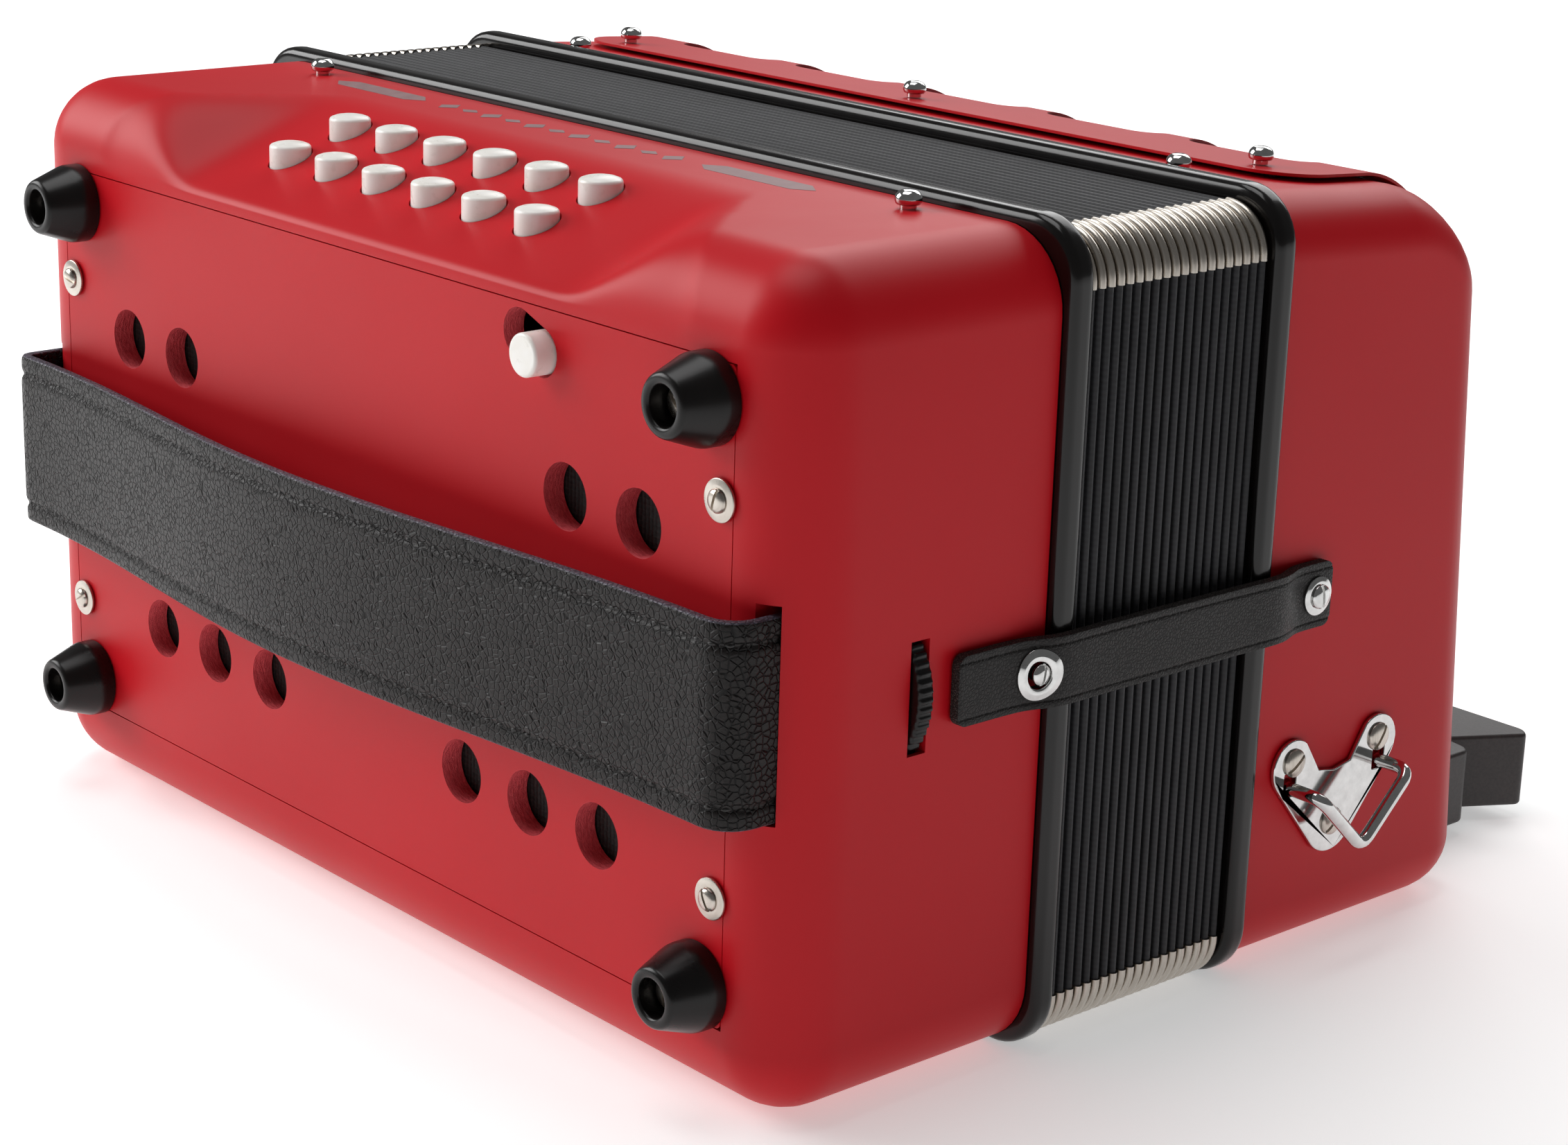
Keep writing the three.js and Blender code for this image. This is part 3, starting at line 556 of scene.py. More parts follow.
# %% Metals
def metal(name, dark, light, roughness, grain_mm, stretch, depth):
    finish, tree, shader, place = start_finish(name, metallic=1.0)
    pulled = add_node(tree, "ShaderNodeMapping", {"Vector": place, "Scale": stretch}).outputs["Vector"]
    grain = noise(tree, pulled, grain_mm, 4, 0.6)
    tree.links.new(two_tone(tree, grain, dark, light, 0.3, 0.7), shader.inputs["Base Color"])
    smear = noise(tree, place, 12, 3)
    tree.links.new(in_range(tree, smear, roughness - 0.04, roughness + 0.06), shader.inputs["Roughness"])
    relief(tree, shader, grain, 0.4, depth)
    return finish


SATIN_NICKEL = metal("satin_nickel_plate", "#B9B1A7", "#CFC8BF", 0.27, 0.9, (0.15, 3, 0.15), 0.01)
BRIGHT_CHROME = metal("bright_chrome_plate", "#C9C9C8", "#DCDCDB", 0.08, 3, (1, 1, 1), 0.002)
TURNED_STEEL = metal("turned_steel", "#7E7D7C", "#A09F9D", 0.32, 0.5, (1, 4, 1), 0.02)
print(SATIN_NICKEL.name, BRIGHT_CHROME.name, TURNED_STEEL.name)

# %% [markdown]
# Last, the small ones: the waxed thread of the stitching, the grey ink of the printed ornament, and the
# spruce of the reed blocks with its growth rings about 1.5 mm apart.

# %% Thread, ink and spruce
def waxed_thread():
    finish, tree, shader, place = start_finish("waxed_black_thread", ior=1.5, roughness=0.5)
    links = {"Vector": place, "Scale": per_mm(0.5) / 6.5, "Distortion": 1.0}
    twist = add_node(tree, "ShaderNodeTexWave", links, bands_direction="DIAGONAL").outputs["Fac"]
    tree.links.new(two_tone(tree, twist, "#060505", "#1D1A19"), shader.inputs["Base Color"])
    relief(tree, shader, twist, 0.6, 0.1)
    return finish


def printed_ink():
    finish, tree, shader, place = start_finish("grey_screen_print", ior=1.5)
    worn = noise(tree, place, 4, 4, 0.6)
    tree.links.new(two_tone(tree, worn, "#7C5A5C", "#8E6E6F", 0.3, 0.7), shader.inputs["Base Color"])
    tree.links.new(in_range(tree, worn, 0.42, 0.55), shader.inputs["Roughness"])
    return finish


def planed_spruce():
    finish, tree, shader, place = start_finish("planed_spruce", ior=1.5)
    squeeze = add_node(tree, "ShaderNodeMapping", {"Vector": place, "Scale": (0.05, 1, 1)}).outputs["Vector"]
    links = {"Vector": squeeze, "Scale": per_mm(1.5) / 6.5, "Distortion": 1.5, "Detail": 3.0}
    rings = add_node(tree, "ShaderNodeTexWave", links, bands_direction="Z").outputs["Fac"]
    tree.links.new(two_tone(tree, rings, "#C79F68", "#E2C795", 0.2, 0.8), shader.inputs["Base Color"])
    tree.links.new(in_range(tree, rings, 0.6, 0.75), shader.inputs["Roughness"])
    relief(tree, shader, rings, 0.3, 0.05)
    return finish


THREAD = waxed_thread()
INK = printed_ink()
SPRUCE = planed_spruce()
print(THREAD.name, INK.name, SPRUCE.name)

# %% [markdown]
# ## Bass case
# The bass side is a box of 310 by 191.5 mm with an 18 mm rounded edge all round its end, and a sloped recess
# in its front where the fingers reach the buttons. A plain cut would leave the recess with a hard rim, but
# the real one is sanded so that its rim melts into the front. So the front is drawn as a fine grid of
# heights: the lower of the front and the recess's floor is taken, and the grid is then smoothed near the
# recess, as sandpaper does.

# %% Size of the case and its recess
HALF, HIGH, EDGE = 155.0, 191.5, 18.0
BASS_DEPTH = 75.5
CAVITY_TOP, END_WALL, WALL = 170.0, 12.0, 6.0
PLATE = {"half": 136.6, "low": 21.2, "high": 169.7, "thick": 5.6}
SLOPE, RECESS_EDGE = 0.404, 47.0
RECESS_LEFT, LEFT_RAMP, RECESS_RIGHT, RIGHT_RAMP = -80.0, 0.58, 80.0, 0.51


def gentle(share):
    share = min(max(share, 0.0), 1.0)
    return share * share * (3 - 2 * share)


def recess_depth(x, y):
    """How deep the button recess is at a place on the front: a sloped floor and a ramp at each end."""
    ramps = LEFT_RAMP * max(RECESS_LEFT - x, 0) + RIGHT_RAMP * max(x - RECESS_RIGHT, 0)
    return max(SLOPE * (RECESS_EDGE - y) - ramps, 0)


def recess_floor(y):
    return HIGH - SLOPE * (RECESS_EDGE - y)


print("recess floor at the two rows:", round(recess_floor(35.4), 1), round(recess_floor(20.3), 1))

# %% Bass case surface
def bass_rings():
    levels = [(0.0, EDGE + 3.4), (0.0, EDGE + 1.7)]
    arc_steps = 16
    for step in range(arc_steps + 1):
        y = EDGE * (1 - math.cos(math.pi / 2 * step / arc_steps))
        levels.append((y, in_from_end(EDGE, y)))
    levels += [(y, 0.0) for y in spread(EDGE, BASS_DEPTH, 1.6)[1:]]
    rings = []
    for y, inset in levels:
        corner = max(EDGE - inset, 0.6)
        outline = rounded_box(-HALF + inset, HALF - inset, inset, HIGH - inset, corner, 10, 190, 8)
        rings.append([[x, y, z] for x, z in outline])
    return np.array(rings)


def smooth_recess(rings, rounds=26):
    """Lowers the front into the recess and sands its rim."""
    grid = rings.copy()
    front = grid[0, :, 2] > HIGH - EDGE - 3.6
    columns = np.where(front & (np.abs(grid[-1, :, 0]) < HALF - EDGE + 0.1))[0]
    part = grid[:, columns]
    depth = np.vectorize(recess_depth)(part[..., 0], part[..., 1])
    part[..., 2] = np.minimum(part[..., 2], HIGH - depth)
    reach = np.clip(depth / 0.6, 0, 1)
    for _ in range(4):
        reach[1:-1, 1:-1] = np.maximum(reach[1:-1, 1:-1], 0.9 * np.maximum.reduce(
            [reach[:-2, 1:-1], reach[2:, 1:-1], reach[1:-1, :-2], reach[1:-1, 2:]]))
    reach[:2], reach[-2:], reach[:, :2], reach[:, -2:] = 0, 0, 0, 0
    for _ in range(rounds):
        mean = part.copy()
        mean[1:-1, 1:-1] = (part[:-2, 1:-1] + part[2:, 1:-1] + part[1:-1, :-2] + part[1:-1, 2:]) / 4
        part += (mean - part) * reach[..., None] * 0.7
    grid[:, columns] = part
    return grid


bass_grid = smooth_recess(bass_rings())
bass_case = draw("bass_case_body", loft([[tuple(p) for p in ring] for ring in bass_grid]), RED_LACQUER)
print("bass grid", bass_grid.shape)

# %% [markdown]
# The case is hollow. The pocket for the end plate, the room that the air button swings in, the two strap
# slots, the slot for the adjusting wheel and the twelve button holes are cut as a joiner and a drill would:
# with straight tools.

# %% Cuts in the bass case
BUTTON_PITCH, BUTTON_RADIUS, BUTTON_PROUD, FLANGE_RADIUS = 20.3, 5.2, 4.8, 6.5
BASS_ROWS = [(35.4, -4.4), (20.3, -8.5)]
STRAP = {"low": 72.0, "high": 118.0, "thick": 3.2, "outer": 148.0}
MIDDLE_Z = 95.2
WHEEL = {"radius": 20.0, "proud": 3.3, "y": 37.5, "thick": 4.4, "slot": 2.7}
AIR = {"x": 70.8, "z": 159.4, "radius": 5.0, "proud": 5.4, "way": (-0.937, 0, 0.348), "slot": 8.6}
bass_places = [(middle + (i - 2.5) * BUTTON_PITCH, y) for y, middle in BASS_ROWS for i in range(6)]

carve(bass_case, brick((-HALF + WALL, END_WALL, WALL), (HALF - WALL, BASS_DEPTH + 1, CAVITY_TOP)))
carve(bass_case, brick((-PLATE["half"], -1, PLATE["low"]),
                       (PLATE["half"], PLATE["thick"] + 0.3, PLATE["high"])))
inner = {"half": PLATE["half"] - 3.6, "low": PLATE["low"] + 3.6, "high": PLATE["high"] - 3.6}
carve(bass_case, brick((-inner["half"], 0, inner["low"]), (inner["half"], END_WALL + 1, inner["high"])))
carve(bass_case, brick((AIR["x"] - 17, PLATE["thick"], AIR["z"] - 6),
                       (AIR["x"] + 8, END_WALL + 1, PLATE["high"] - 0.8)))
slots = []
for sign in (-1, 1):
    near, far = sorted((sign * (STRAP["outer"] - STRAP["thick"] - 1.8), sign * (STRAP["outer"] + 0.1)))
    slots.append(brick((near, -1, STRAP["low"] - 0.6), (far, 30, STRAP["high"] + 2.2)))
carve(bass_case, *slots)
for near, far, reach in ((HALF - 9, HALF - 1.2, 18), (HALF - 3, HALF + 1, 13)):
    carve(bass_case, brick((near, WHEEL["y"] - WHEEL["slot"], MIDDLE_Z - reach),
                           (far, WHEEL["y"] + WHEEL["slot"], MIDDLE_Z + reach)))
drill = rod_profile(BUTTON_RADIUS + 0.45, 0, 30)
carve(bass_case, *[turned(drill, (x, y, CAVITY_TOP - 2), (0, 0, 1), 40) for x, y in bass_places])
fit(bass_case, "bass_side", "red_lacquer", "bass_case", crease=30)

# %% [markdown]
# ## End plate
# A board let into the bass end, with ten routed sound holes and the slot of the air button. It is a little
# smaller than its pocket, which leaves the thin dark line round it. Only the walls of the holes get the
# rough routed finish, which is chosen by the way that a face looks: a wall never looks along Y.

# %% End plate
PLATE_GAP = 0.3
HOLE = {"radius": 7.75, "upper_z": 128.7, "lower_z": 52.8,
        "upper": (79.8, 105.5), "lower": (41.2, 67.0, 92.5)}
plate_outline = rounded_box(-PLATE["half"] + PLATE_GAP, PLATE["half"] - PLATE_GAP,
                            PLATE["low"] + PLATE_GAP, PLATE["high"] - PLATE_GAP, 1.5, 4)
plate_rings = [[(x, y, z) for x, z in plate_outline] for y in (0, PLATE["thick"])]
end_plate = draw("bass_end_plate_board", loft(plate_rings), RED_LACQUER)
hole_places = [(sign * x, HOLE[row + "_z"])
               for row in ("upper", "lower") for x in HOLE[row] for sign in (-1, 1)]
bore = rod_profile(HOLE["radius"], 0, 12)
carve(end_plate, *[turned(bore, (x, -2, z), (0, 1, 0), 56) for x, z in hole_places])


def slot_outline(radius, steps=12):
    way = Vector((AIR["way"][0], AIR["way"][2]))
    angle = math.degrees(math.atan2(way.y, way.x))
    start, end = Vector((AIR["x"], AIR["z"])), Vector((AIR["x"], AIR["z"])) + way * AIR["slot"]
    return arc(end, radius, angle - 90, angle + 90, steps) + arc(start, radius, angle + 90, angle + 270, steps)


carve(end_plate, loft([[(x, y, z) for x, z in slot_outline(AIR["radius"] + 0.7)] for y in (-2, 10)]))
ease(end_plate, 0.35, 2, 50)
end_plate.data.materials.append(ROUTED)
for face in end_plate.data.polygons:
    middle = take(face.center)
    inside = abs(middle[0]) < PLATE["half"] - 3 and PLATE["low"] + 3 < middle[2] < PLATE["high"] - 1
    if abs(face.normal.y) < 0.4 and inside:
        face.material_index = 1
fit(end_plate, "bass_side", "red_lacquer", "bass_end_plate", crease=30)

# %% [markdown]
# The mesh behind the holes is one flat piece of cloth stretched and stapled to the back of the plate. It is
# cut 261.2 by 120 mm. It needs no fold, only to lie flat and be thin.

# %% Sound mesh behind the end plate
MESH_HALF, MESH_LOW, MESH_HIGH = 130.6, 28.0, 148.0
mesh_places = spread(-MESH_HALF, MESH_HALF, 10)
mesh_heights = spread(MESH_LOW, MESH_HIGH, 10)
sound_sheet = draw("bass_sound_mesh", slab(mesh_places, mesh_heights, 0, 0.5), SOUND_MESH, raw=True)
bend(sound_sheet, lambda along, across, thick: (along, PLATE["thick"] + 0.4 + thick, across))
fit(sound_sheet, "bass_side", "grille_cloth", "bass_grille_cloth")

# %% [markdown]
# ## Feet and screws
# Four black rubber-like feet let the player stand the instrument on its bass end. Each is a cone with a
# recess for its screw. Washers and slotted screws hold the plate. These are turned pieces, so a profile is
# turned round a line, and only the slot of each screw has to be cut.

# %% Feet
FOOT = {"x": 128.4, "z": (29.7, 161.1), "recess": 7.2, "screw_y": -7.5}
CORNERS = [("top_front", 1, 1), ("top_back", 1, 0), ("bottom_front", -1, 1), ("bottom_back", -1, 0)]
cone = [(10.2, 0), (10.2, 3.6), (6.8, 13.0), (4.5, 13.0), (4.3, FOOT["recess"])]
foot_profile = [(0, 0), *filleted(cone, 1.1, 5, closed=False), (0, FOOT["recess"])]


def slotted_head(radius, height, place, way, slot_turn=0.0, slot_width=1.1, sides=32):
    """The shape of a domed screw head with its slot already cut."""
    dome = [(0, 0), (radius * 0.9, 0), (radius, 0.25 * height), (radius * 0.97, 0.5 * height),
            (radius * 0.8, 0.8 * height), (radius * 0.45, 0.96 * height), (0, height)]
    head = draw("head", turned(dome, place, way, sides))
    way, place = Vector(way).normalized(), Vector(place)
    across = way.orthogonal().normalized()
    across.rotate(Matrix.Rotation(slot_turn, 3, way))
    side = way.cross(across)
    corners = []
    for along in (-1.3 * radius, 1.3 * radius):
        ring = []
        for wide, up in ((-1, 0.45), (1, 0.45), (1, 1.6), (-1, 1.6)):
            ring.append(tuple(place + across * along + side * (wide * slot_width / 2) + way * (up * height)))
        corners.append(ring)
    carve(head, loft(corners))
    points = [take(vertex.co) for vertex in head.data.vertices]
    faces = [tuple(face.vertices) for face in head.data.polygons]
    bpy.data.objects.remove(head)
    return points, faces


for name, sign, level in CORNERS:
    place = (sign * FOOT["x"], -0.3, FOOT["z"][level])
    foot = draw("bass_foot_" + name + "_cone", turned(foot_profile, place, (0, -1, 0), 48), BLACK_PLASTIC)
    fit(foot, "bass_side", "black_gloss", "bass_foot_" + name, crease=50)
    seat = (place[0], FOOT["screw_y"], place[2])
    head = slotted_head(3.9, 1.9, seat, (0, -1, 0), 0.7 + sign * level)
    screw = draw("foot_screw_" + name, head, SATIN_NICKEL)
    fit(screw, "bass_side", "nickel")

# %% End plate screws
PLATE_SCREW = {"x": 132.8, "z": (51.3, 140.2)}
washer_profile = filleted([(1.9, 0), (4.8, 0), (4.8, 0.7), (3.2, 1.0), (1.9, 1.0)], 0.25, 2)
for index, (name, sign, level) in enumerate(CORNERS):
    place = (sign * PLATE_SCREW["x"], -0.3, PLATE_SCREW["z"][level])
    washer = turned(washer_profile, place, (0, -1, 0), 40, closed=True)
    head = slotted_head(2.7, 1.5, (place[0], -1.05, place[2]), (0, -1, 0), 0.5 + 0.8 * index, 0.7)
    screw = draw("plate_washer_and_screw_" + name, together([washer, head]), SATIN_NICKEL)
    fit(screw, "bass_side", "nickel", "end_plate_screw_" + name)

# %% [markdown]
# ## Hand strap
# A strap of pebbled hide goes over the back of the left hand, from a slot at one end of the case to the
# adjuster at the other. It is two layers sewn together 5 mm from each edge, so it is a little plump between
# the seams and thin at the rim. Simulated cloth would take its stitching away, so the strap is drawn flat,
# given its plump section, and bent along its arch.

# %% The arch of the hand strap
def strap_face(x):
    reach = 130 if x < -8 else 150
    share = min(abs(x + 8) / reach, 1)
    return -(10.5 + 9 * math.cos(math.pi / 2 * share) ** 2)


def strap_route():
    side, deep, left_bend, right_bend = STRAP["outer"], 26, 4, 9
    points = [(-side, deep)] + [(-side, y) for y in spread(deep - 2, strap_face(-side) + left_bend + 1, 2)]
    points += arc((-side + left_bend, strap_face(-side) + left_bend), left_bend, 180, 270, 8)
    points += [(x, strap_face(x)) for x in spread(-side + left_bend + 3, side - right_bend - 3, 3)]
    points += arc((side - right_bend, strap_face(side) + right_bend), right_bend, 270, 360, 12)
    points += [(side, y) for y in spread(strap_face(side) + right_bend + 1, deep, 2)]
    return Route(points)


strap_path = strap_route()
print("hand strap is", round(strap_path.length), "mm long")

# %% Hand strap leather
STRAP_MIDDLE = (STRAP["low"] + STRAP["high"]) / 2
STRAP_HALF = (STRAP["high"] - STRAP["low"]) / 2
SEAM = 5.0


def strap_place(along, across, out):
    """Across is measured from the strap's centre line, out from its outer face."""
    x, y = strap_path.place(along)
    way = strap_path.way(along)
    return (x + way[1] * out, y - way[0] * out, STRAP_MIDDLE + across)


def strap_section(across, outer):
    """The plump section: thin at the rim, a dip at each seam, and fullest in the middle."""
    from_rim = STRAP_HALF - abs(across)
    crown = 0.25 * gentle(from_rim / 9) - 0.6 * math.exp(-((from_rim - SEAM) / 0.9) ** 2)
    crown -= 0.7 * (1 - math.sqrt(max(0, 1 - (1 - min(from_rim / 1.2, 1)) ** 2)))
    return crown - 0.25 if outer else -STRAP["thick"] + 0.25 - crown * 0.8


rim = [0, 0.12, 0.35, 0.7, 1.2, 2.2, 3.2, 3.8, 4.3, 4.7, 5.0, 5.3, 5.7, 6.2, 7, 8, 9.5, 12, 15, 18]
across_places = [-STRAP_HALF + r for r in rim] + [0] + [STRAP_HALF - r for r in reversed(rim)]
flat_strap = slab(spread(0, strap_path.length, 2.2), across_places, 0, 1)
hand_strap = draw("hand_strap_leather", flat_strap, PEBBLED, raw=True)
bend(hand_strap, lambda s, w, t: strap_place(s, w, strap_section(w, t > 0.5)))
# The faces along the rim get the paler finish, which paints the highlight along the strap's edge.
hand_strap.data.materials.append(RIM_PAINTED_HIGHLIGHT)
for face in hand_strap.data.polygons:
    if abs(take(face.center)[2] - STRAP_MIDDLE) > STRAP_HALF - 0.5:
        face.material_index = 1
fit(hand_strap, None, "black_leather", "hand_strap", crease=60)
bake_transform(hand_strap)

# %% [markdown]
# The stitching is a lock stitch of thick waxed thread, about 4.5 mm a stitch, on both faces. Each stitch
# dives into the leather at its ends, so it is a small bowed bead half sunk in the dip of the seam.

# %% Hand strap stitching
def bead(middle, way, side, out, length, wide, high, sides=6, steps=6):
    """One stitch: a tapered bead along way, bowed away from the leather."""
    rings = []
    middle, way, side, out = (np.array(v, float) for v in (middle, way, side, out))
    for step in range(steps + 1):
        share = step / steps
        swell = max(math.sin(math.pi * share), 0.18)
        centre = middle + way * (share - 0.5) * length + out * (swell - 1) * high
        turns = [2 * math.pi * i / sides for i in range(sides)]
        rings.append([tuple(centre + side * (math.cos(turn) * wide * swell / 2)
                            + out * (math.sin(turn) * high * swell / 2)) for turn in turns])
    return loft(rings)


def strap_stitches():
    beads = []
    for row in (-1, 1):
        across = row * (STRAP_HALF - SEAM)
        for outer in (True, False):
            level = strap_section(across, outer)
            for along in spread(30, strap_path.length - 30, 4.5)[1:-1]:
                here = np.array(strap_place(along, across, level))
                ahead = np.array(strap_place(along + 0.5, across, level))
                way = (ahead - here) / np.linalg.norm(ahead - here)
                out = np.array(strap_place(along, across, level + 1)) - here
                beads.append(bead(here, way, (0, 0, 1), out if outer else -out, 3.4, 1.0, 0.75))
    return together(beads)


stitching = draw("hand_strap_stitching", strap_stitches(), THREAD)
fit(stitching, None, "black_leather", crease=60)
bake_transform(stitching)

# %% [markdown]
# ## Strap adjuster
# A knurled wheel in the side of the case turns a screw, and the nut on it pulls the strap in. Knurling is a
# row of ridges rolled into the rim. Sixty of them are drawn as a ripple in the rim's radius.

# %% Adjusting wheel
def knurled_wheel(ridges=60, parts=4):
    centre_x = HALF + WHEEL["proud"] - WHEEL["radius"]
    rings = []
    half = WHEEL["thick"] / 2
    for y, radius, ripple in ((-22.5, 2.9, 0), (-half, 2.9, 0), (-half, 18.4, 0), (-half + 0.3, 19.2, 0.3),
                              (-half + 0.9, 19.6, 1), (half - 0.9, 19.6, 1), (half - 0.3, 19.2, 0.3),
                              (half, 18.4, 0), (half, 2.9, 0), (28.5, 2.9, 0)):
        ring = []
        for i in range(ridges * parts):
            angle = 2 * math.pi * i / (ridges * parts)
            reach = radius + ripple * 0.4 * math.cos(angle * ridges)
            x, z = centre_x + reach * math.cos(angle), MIDDLE_Z + reach * math.sin(angle)
            ring.append((x, WHEEL["y"] + y, z))
        rings.append(ring)
    return loft(rings)


wheel = draw("strap_adjusting_wheel", knurled_wheel(), BLACK_PLASTIC)
fit(wheel, "strap_adjuster", "black_gloss", "strap_wheel", crease=50)

# %% [markdown]
# ## Air button
# The thumb pushes this button along its slot to let air in without a note. It is a plain round cap with an
# eased edge. Its lever and the strap nut are well enough drawn in the CAD model, so they only get steel.

# %% Air button
cap_edge = [(AIR["radius"], -2.4), (AIR["radius"], AIR["proud"] - 0.1), (0.3, AIR["proud"])]
cap_profile = [(0, -2.6), (AIR["radius"], -2.6)] + filleted(cap_edge, 0.9, 6, False)[1:-1]
cap_profile += [(0, AIR["proud"])]
air_button = draw("air_button_cap", turned(cap_profile, (AIR["x"], 0, AIR["z"]), (0, -1, 0), 56), IVORY)
fit(air_button, "air_key", "ivory_plastic", "air_button")

CARRIED = {"air_lever": TURNED_STEEL, "strap_nut": TURNED_STEEL,
           "bass_reed_block": SPRUCE, "treble_reed_block": SPRUCE}
for node_name, finish in CARRIED.items():
    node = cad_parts[node_name]
    node.data.materials.clear()
    node.data.materials.append(finish)
print("carried over:", list(CARRIED))

# %% [markdown]
# ## Bass buttons
# Twelve turned buttons stand straight up out of the sloped recess. Their tops are very slightly domed and
# the edge is eased by about a millimetre. Each rides on its own key body, so it can be pressed alone.

# %% Bass buttons
FLANGE_FOOT = CAVITY_TOP - 2.3


def button_profile(radius, height, flange=None, dome=0.7):
    low = [(0, 0), (flange, 0), (flange, 2), (radius, 2)] if flange else [(0, 0), (radius, 0)]
    edge = arc((radius - 1, height - 1 - dome), 1, 0, 62, 5)
    top = [(radius * share, height - dome * 1.25 * share * share) for share in (0.7, 0.5, 0.3, 0.15)]
    return low + edge + top + [(0, height)]


for index, (x, y) in enumerate(bass_places):
    number = f"{index + 1:02d}"
    profile = button_profile(BUTTON_RADIUS, recess_floor(y) + BUTTON_PROUD - FLANGE_FOOT, FLANGE_RADIUS)
    button = draw("bass_button_cap_" + number, turned(profile, (x, y, FLANGE_FOOT), (0, 0, 1), 48), IVORY)
    fit(button, f"bass_button_{number}_key", "ivory_plastic", "bass_button_" + number, crease=32)

# %% [markdown]
# ## Bellows
# Two polished frames are screwed to the cases, and between them twenty folds of cloth-covered card. Each
# fold is drawn as three pieces, because they move in three ways when the bellows opens: the leaves on each
# side of the ridge spread like a V, while the taped ridge and its metal corners keep their width.

# %% Bands round the case
def band(profile, size, steps=10, along=1):
    """A closed band from a profile of (y, out) pairs. size is the half length, low and high sides and corner
    radius at out = 0, and out grows outwards."""
    half, low, high, corner = size
    rings = []
    for y, out in profile:
        radius = max(corner + out, 0.6)
        outline = rounded_box(-half - out, half + out, low - out, high + out, radius, steps, along, along)
        rings.append([(x, y, z) for x, z in outline])
    return loft(rings, wrap=True)


FRAME_SIZE = (158.0, 0.0, 194.5, 14.0)
FRAME_THICK, FRAME_DEEP = 7.0, 20.0
BASS_FRAME_Y, TREBLE_FRAME_Y = BASS_DEPTH + 0.3, 142.4

for name, start, body in (("bass", BASS_FRAME_Y, "bass_side"), ("treble", TREBLE_FRAME_Y, "treble_side")):
    end = start + FRAME_THICK
    section = filleted([(start, -FRAME_DEEP), (start, 0), (end, 0), (end, -FRAME_DEEP)], 2.6, 6)
    moulding = draw(name + "_bellows_moulding", band(section, FRAME_SIZE), BLACK_LACQUER)
    fit(moulding, body, "black_gloss", name + "_bellows_frame", crease=50)

# %% Folds
FOLD_COUNT = 20
FOLDS_FROM, FOLDS_TO = 83.1, 142.1
STACK = FOLDS_TO - FOLDS_FROM
FOLD_PITCH = STACK / FOLD_COUNT
FOLD_CENTRES = [FOLDS_FROM + FOLD_PITCH * (index + 0.5) for index in range(FOLD_COUNT)]
FOLD_SIZE = (155.5, 0.6, 190.9, 12.0)
VALLEY = -24.0


def smoothstep_at(share):
    """The place where a smoothstep has the given value."""
    low, high = 0.0, 1.0
    for _ in range(60):
        middle = (low + high) / 2
        low, high = (middle, high) if gentle(middle) < share else (low, middle)
    return (low + high) / 2


def travel_range(centre, stretch):
    """The start and end points of a range round the centre, set by its share of the opening."""
    at = smoothstep_at((centre - FOLDS_FROM) / STACK)
    reach = 6 * at * (1 - at) * STACK if stretch else 10000
    start = centre - at * reach
    return put(0, start, MIDDLE_Z), put(0, start + reach, MIDDLE_Z)


def leaves(centre):
    """Two thin leaves that meet under the ridge and part towards the valley."""
    half, thin = FOLD_PITCH / 2 - 0.02, 0.16
    profile = [(centre, -0.9), (centre + half, VALLEY + 0.4), (centre + half, VALLEY),
               (centre + half - thin, VALLEY), (centre, -1.6), (centre - half + thin, VALLEY),
               (centre - half, VALLEY), (centre - half, VALLEY + 0.4)]
    return band(profile, FOLD_SIZE, 8)


def ridge(centre):
    """The tape over the ridge: a narrow rounded band with its lower edge turned in."""
    profile = arc((centre, -1.15), 0.98, 0, 180, 8)
    profile += [(centre - 0.95, -3.2), (centre - 0.3, -3.4), (centre + 0.3, -3.4), (centre + 0.95, -3.2)]
    return band(profile, FOLD_SIZE, 8, 3)


for index, centre in enumerate(FOLD_CENTRES):
    number = f"{index + 1:02d}"
    for name, shape, finish, stretch in (("bellows_leaves_", leaves(centre), BELLOWS_CARD, True),
                                         ("bellows_ridge_", ridge(centre), BELLOWS_TAPE, False)):
        piece = draw(name + number, shape, finish)
        nodes = (f"bellows_fold_{index // 2 + 1}",) if stretch and index % 2 == 0 and index < 18 else ()
        fit(piece, None, "bellows_cloth", *nodes, crease=50)
        start, end = travel_range(centre, stretch)
        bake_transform(piece)

# %% [markdown]
# Pressed metal corners guard the ridges where they would wear first. Each is a strip folded to a U over the
# ridge and bent round the corner, with cut ends. A U section is lofted round the quarter circle, and the
# four corners of one fold are one piece.

# %% Metal corners
CAP_SECTION = [(1.12, -4.2)] + arc((0, -0.8), 1.12, 0, 180, 10) + [(-1.12, -4.2), (-0.9, -4.2)]
CAP_SECTION += arc((0, -1.2), 0.9, 180, 0, 6) + [(0.9, -4.2)]


def corner_caps(centre):
    half, low, high, radius = FOLD_SIZE
    caps = []
    for x, z, start in ((half - radius, high - radius, 0), (-half + radius, high - radius, 90),
                        (-half + radius, low + radius, 180), (half - radius, low + radius, 270)):
        rings = []
        for step in range(13):
            angle = math.radians(start - 2 + 94 * step / 12)
            across, up = math.cos(angle), math.sin(angle)
            rings.append([(x + (radius + out) * across, centre + y, z + (radius + out) * up)
                          for y, out in CAP_SECTION])
        caps.append(loft(rings))
    return together(caps)


for index, centre in enumerate(FOLD_CENTRES):
    caps = draw(f"bellows_corners_{index + 1:02d}", corner_caps(centre), SATIN_NICKEL)
    fit(caps, None, "nickel", crease=40)
    start, end = travel_range(centre, False)
    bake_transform(caps)

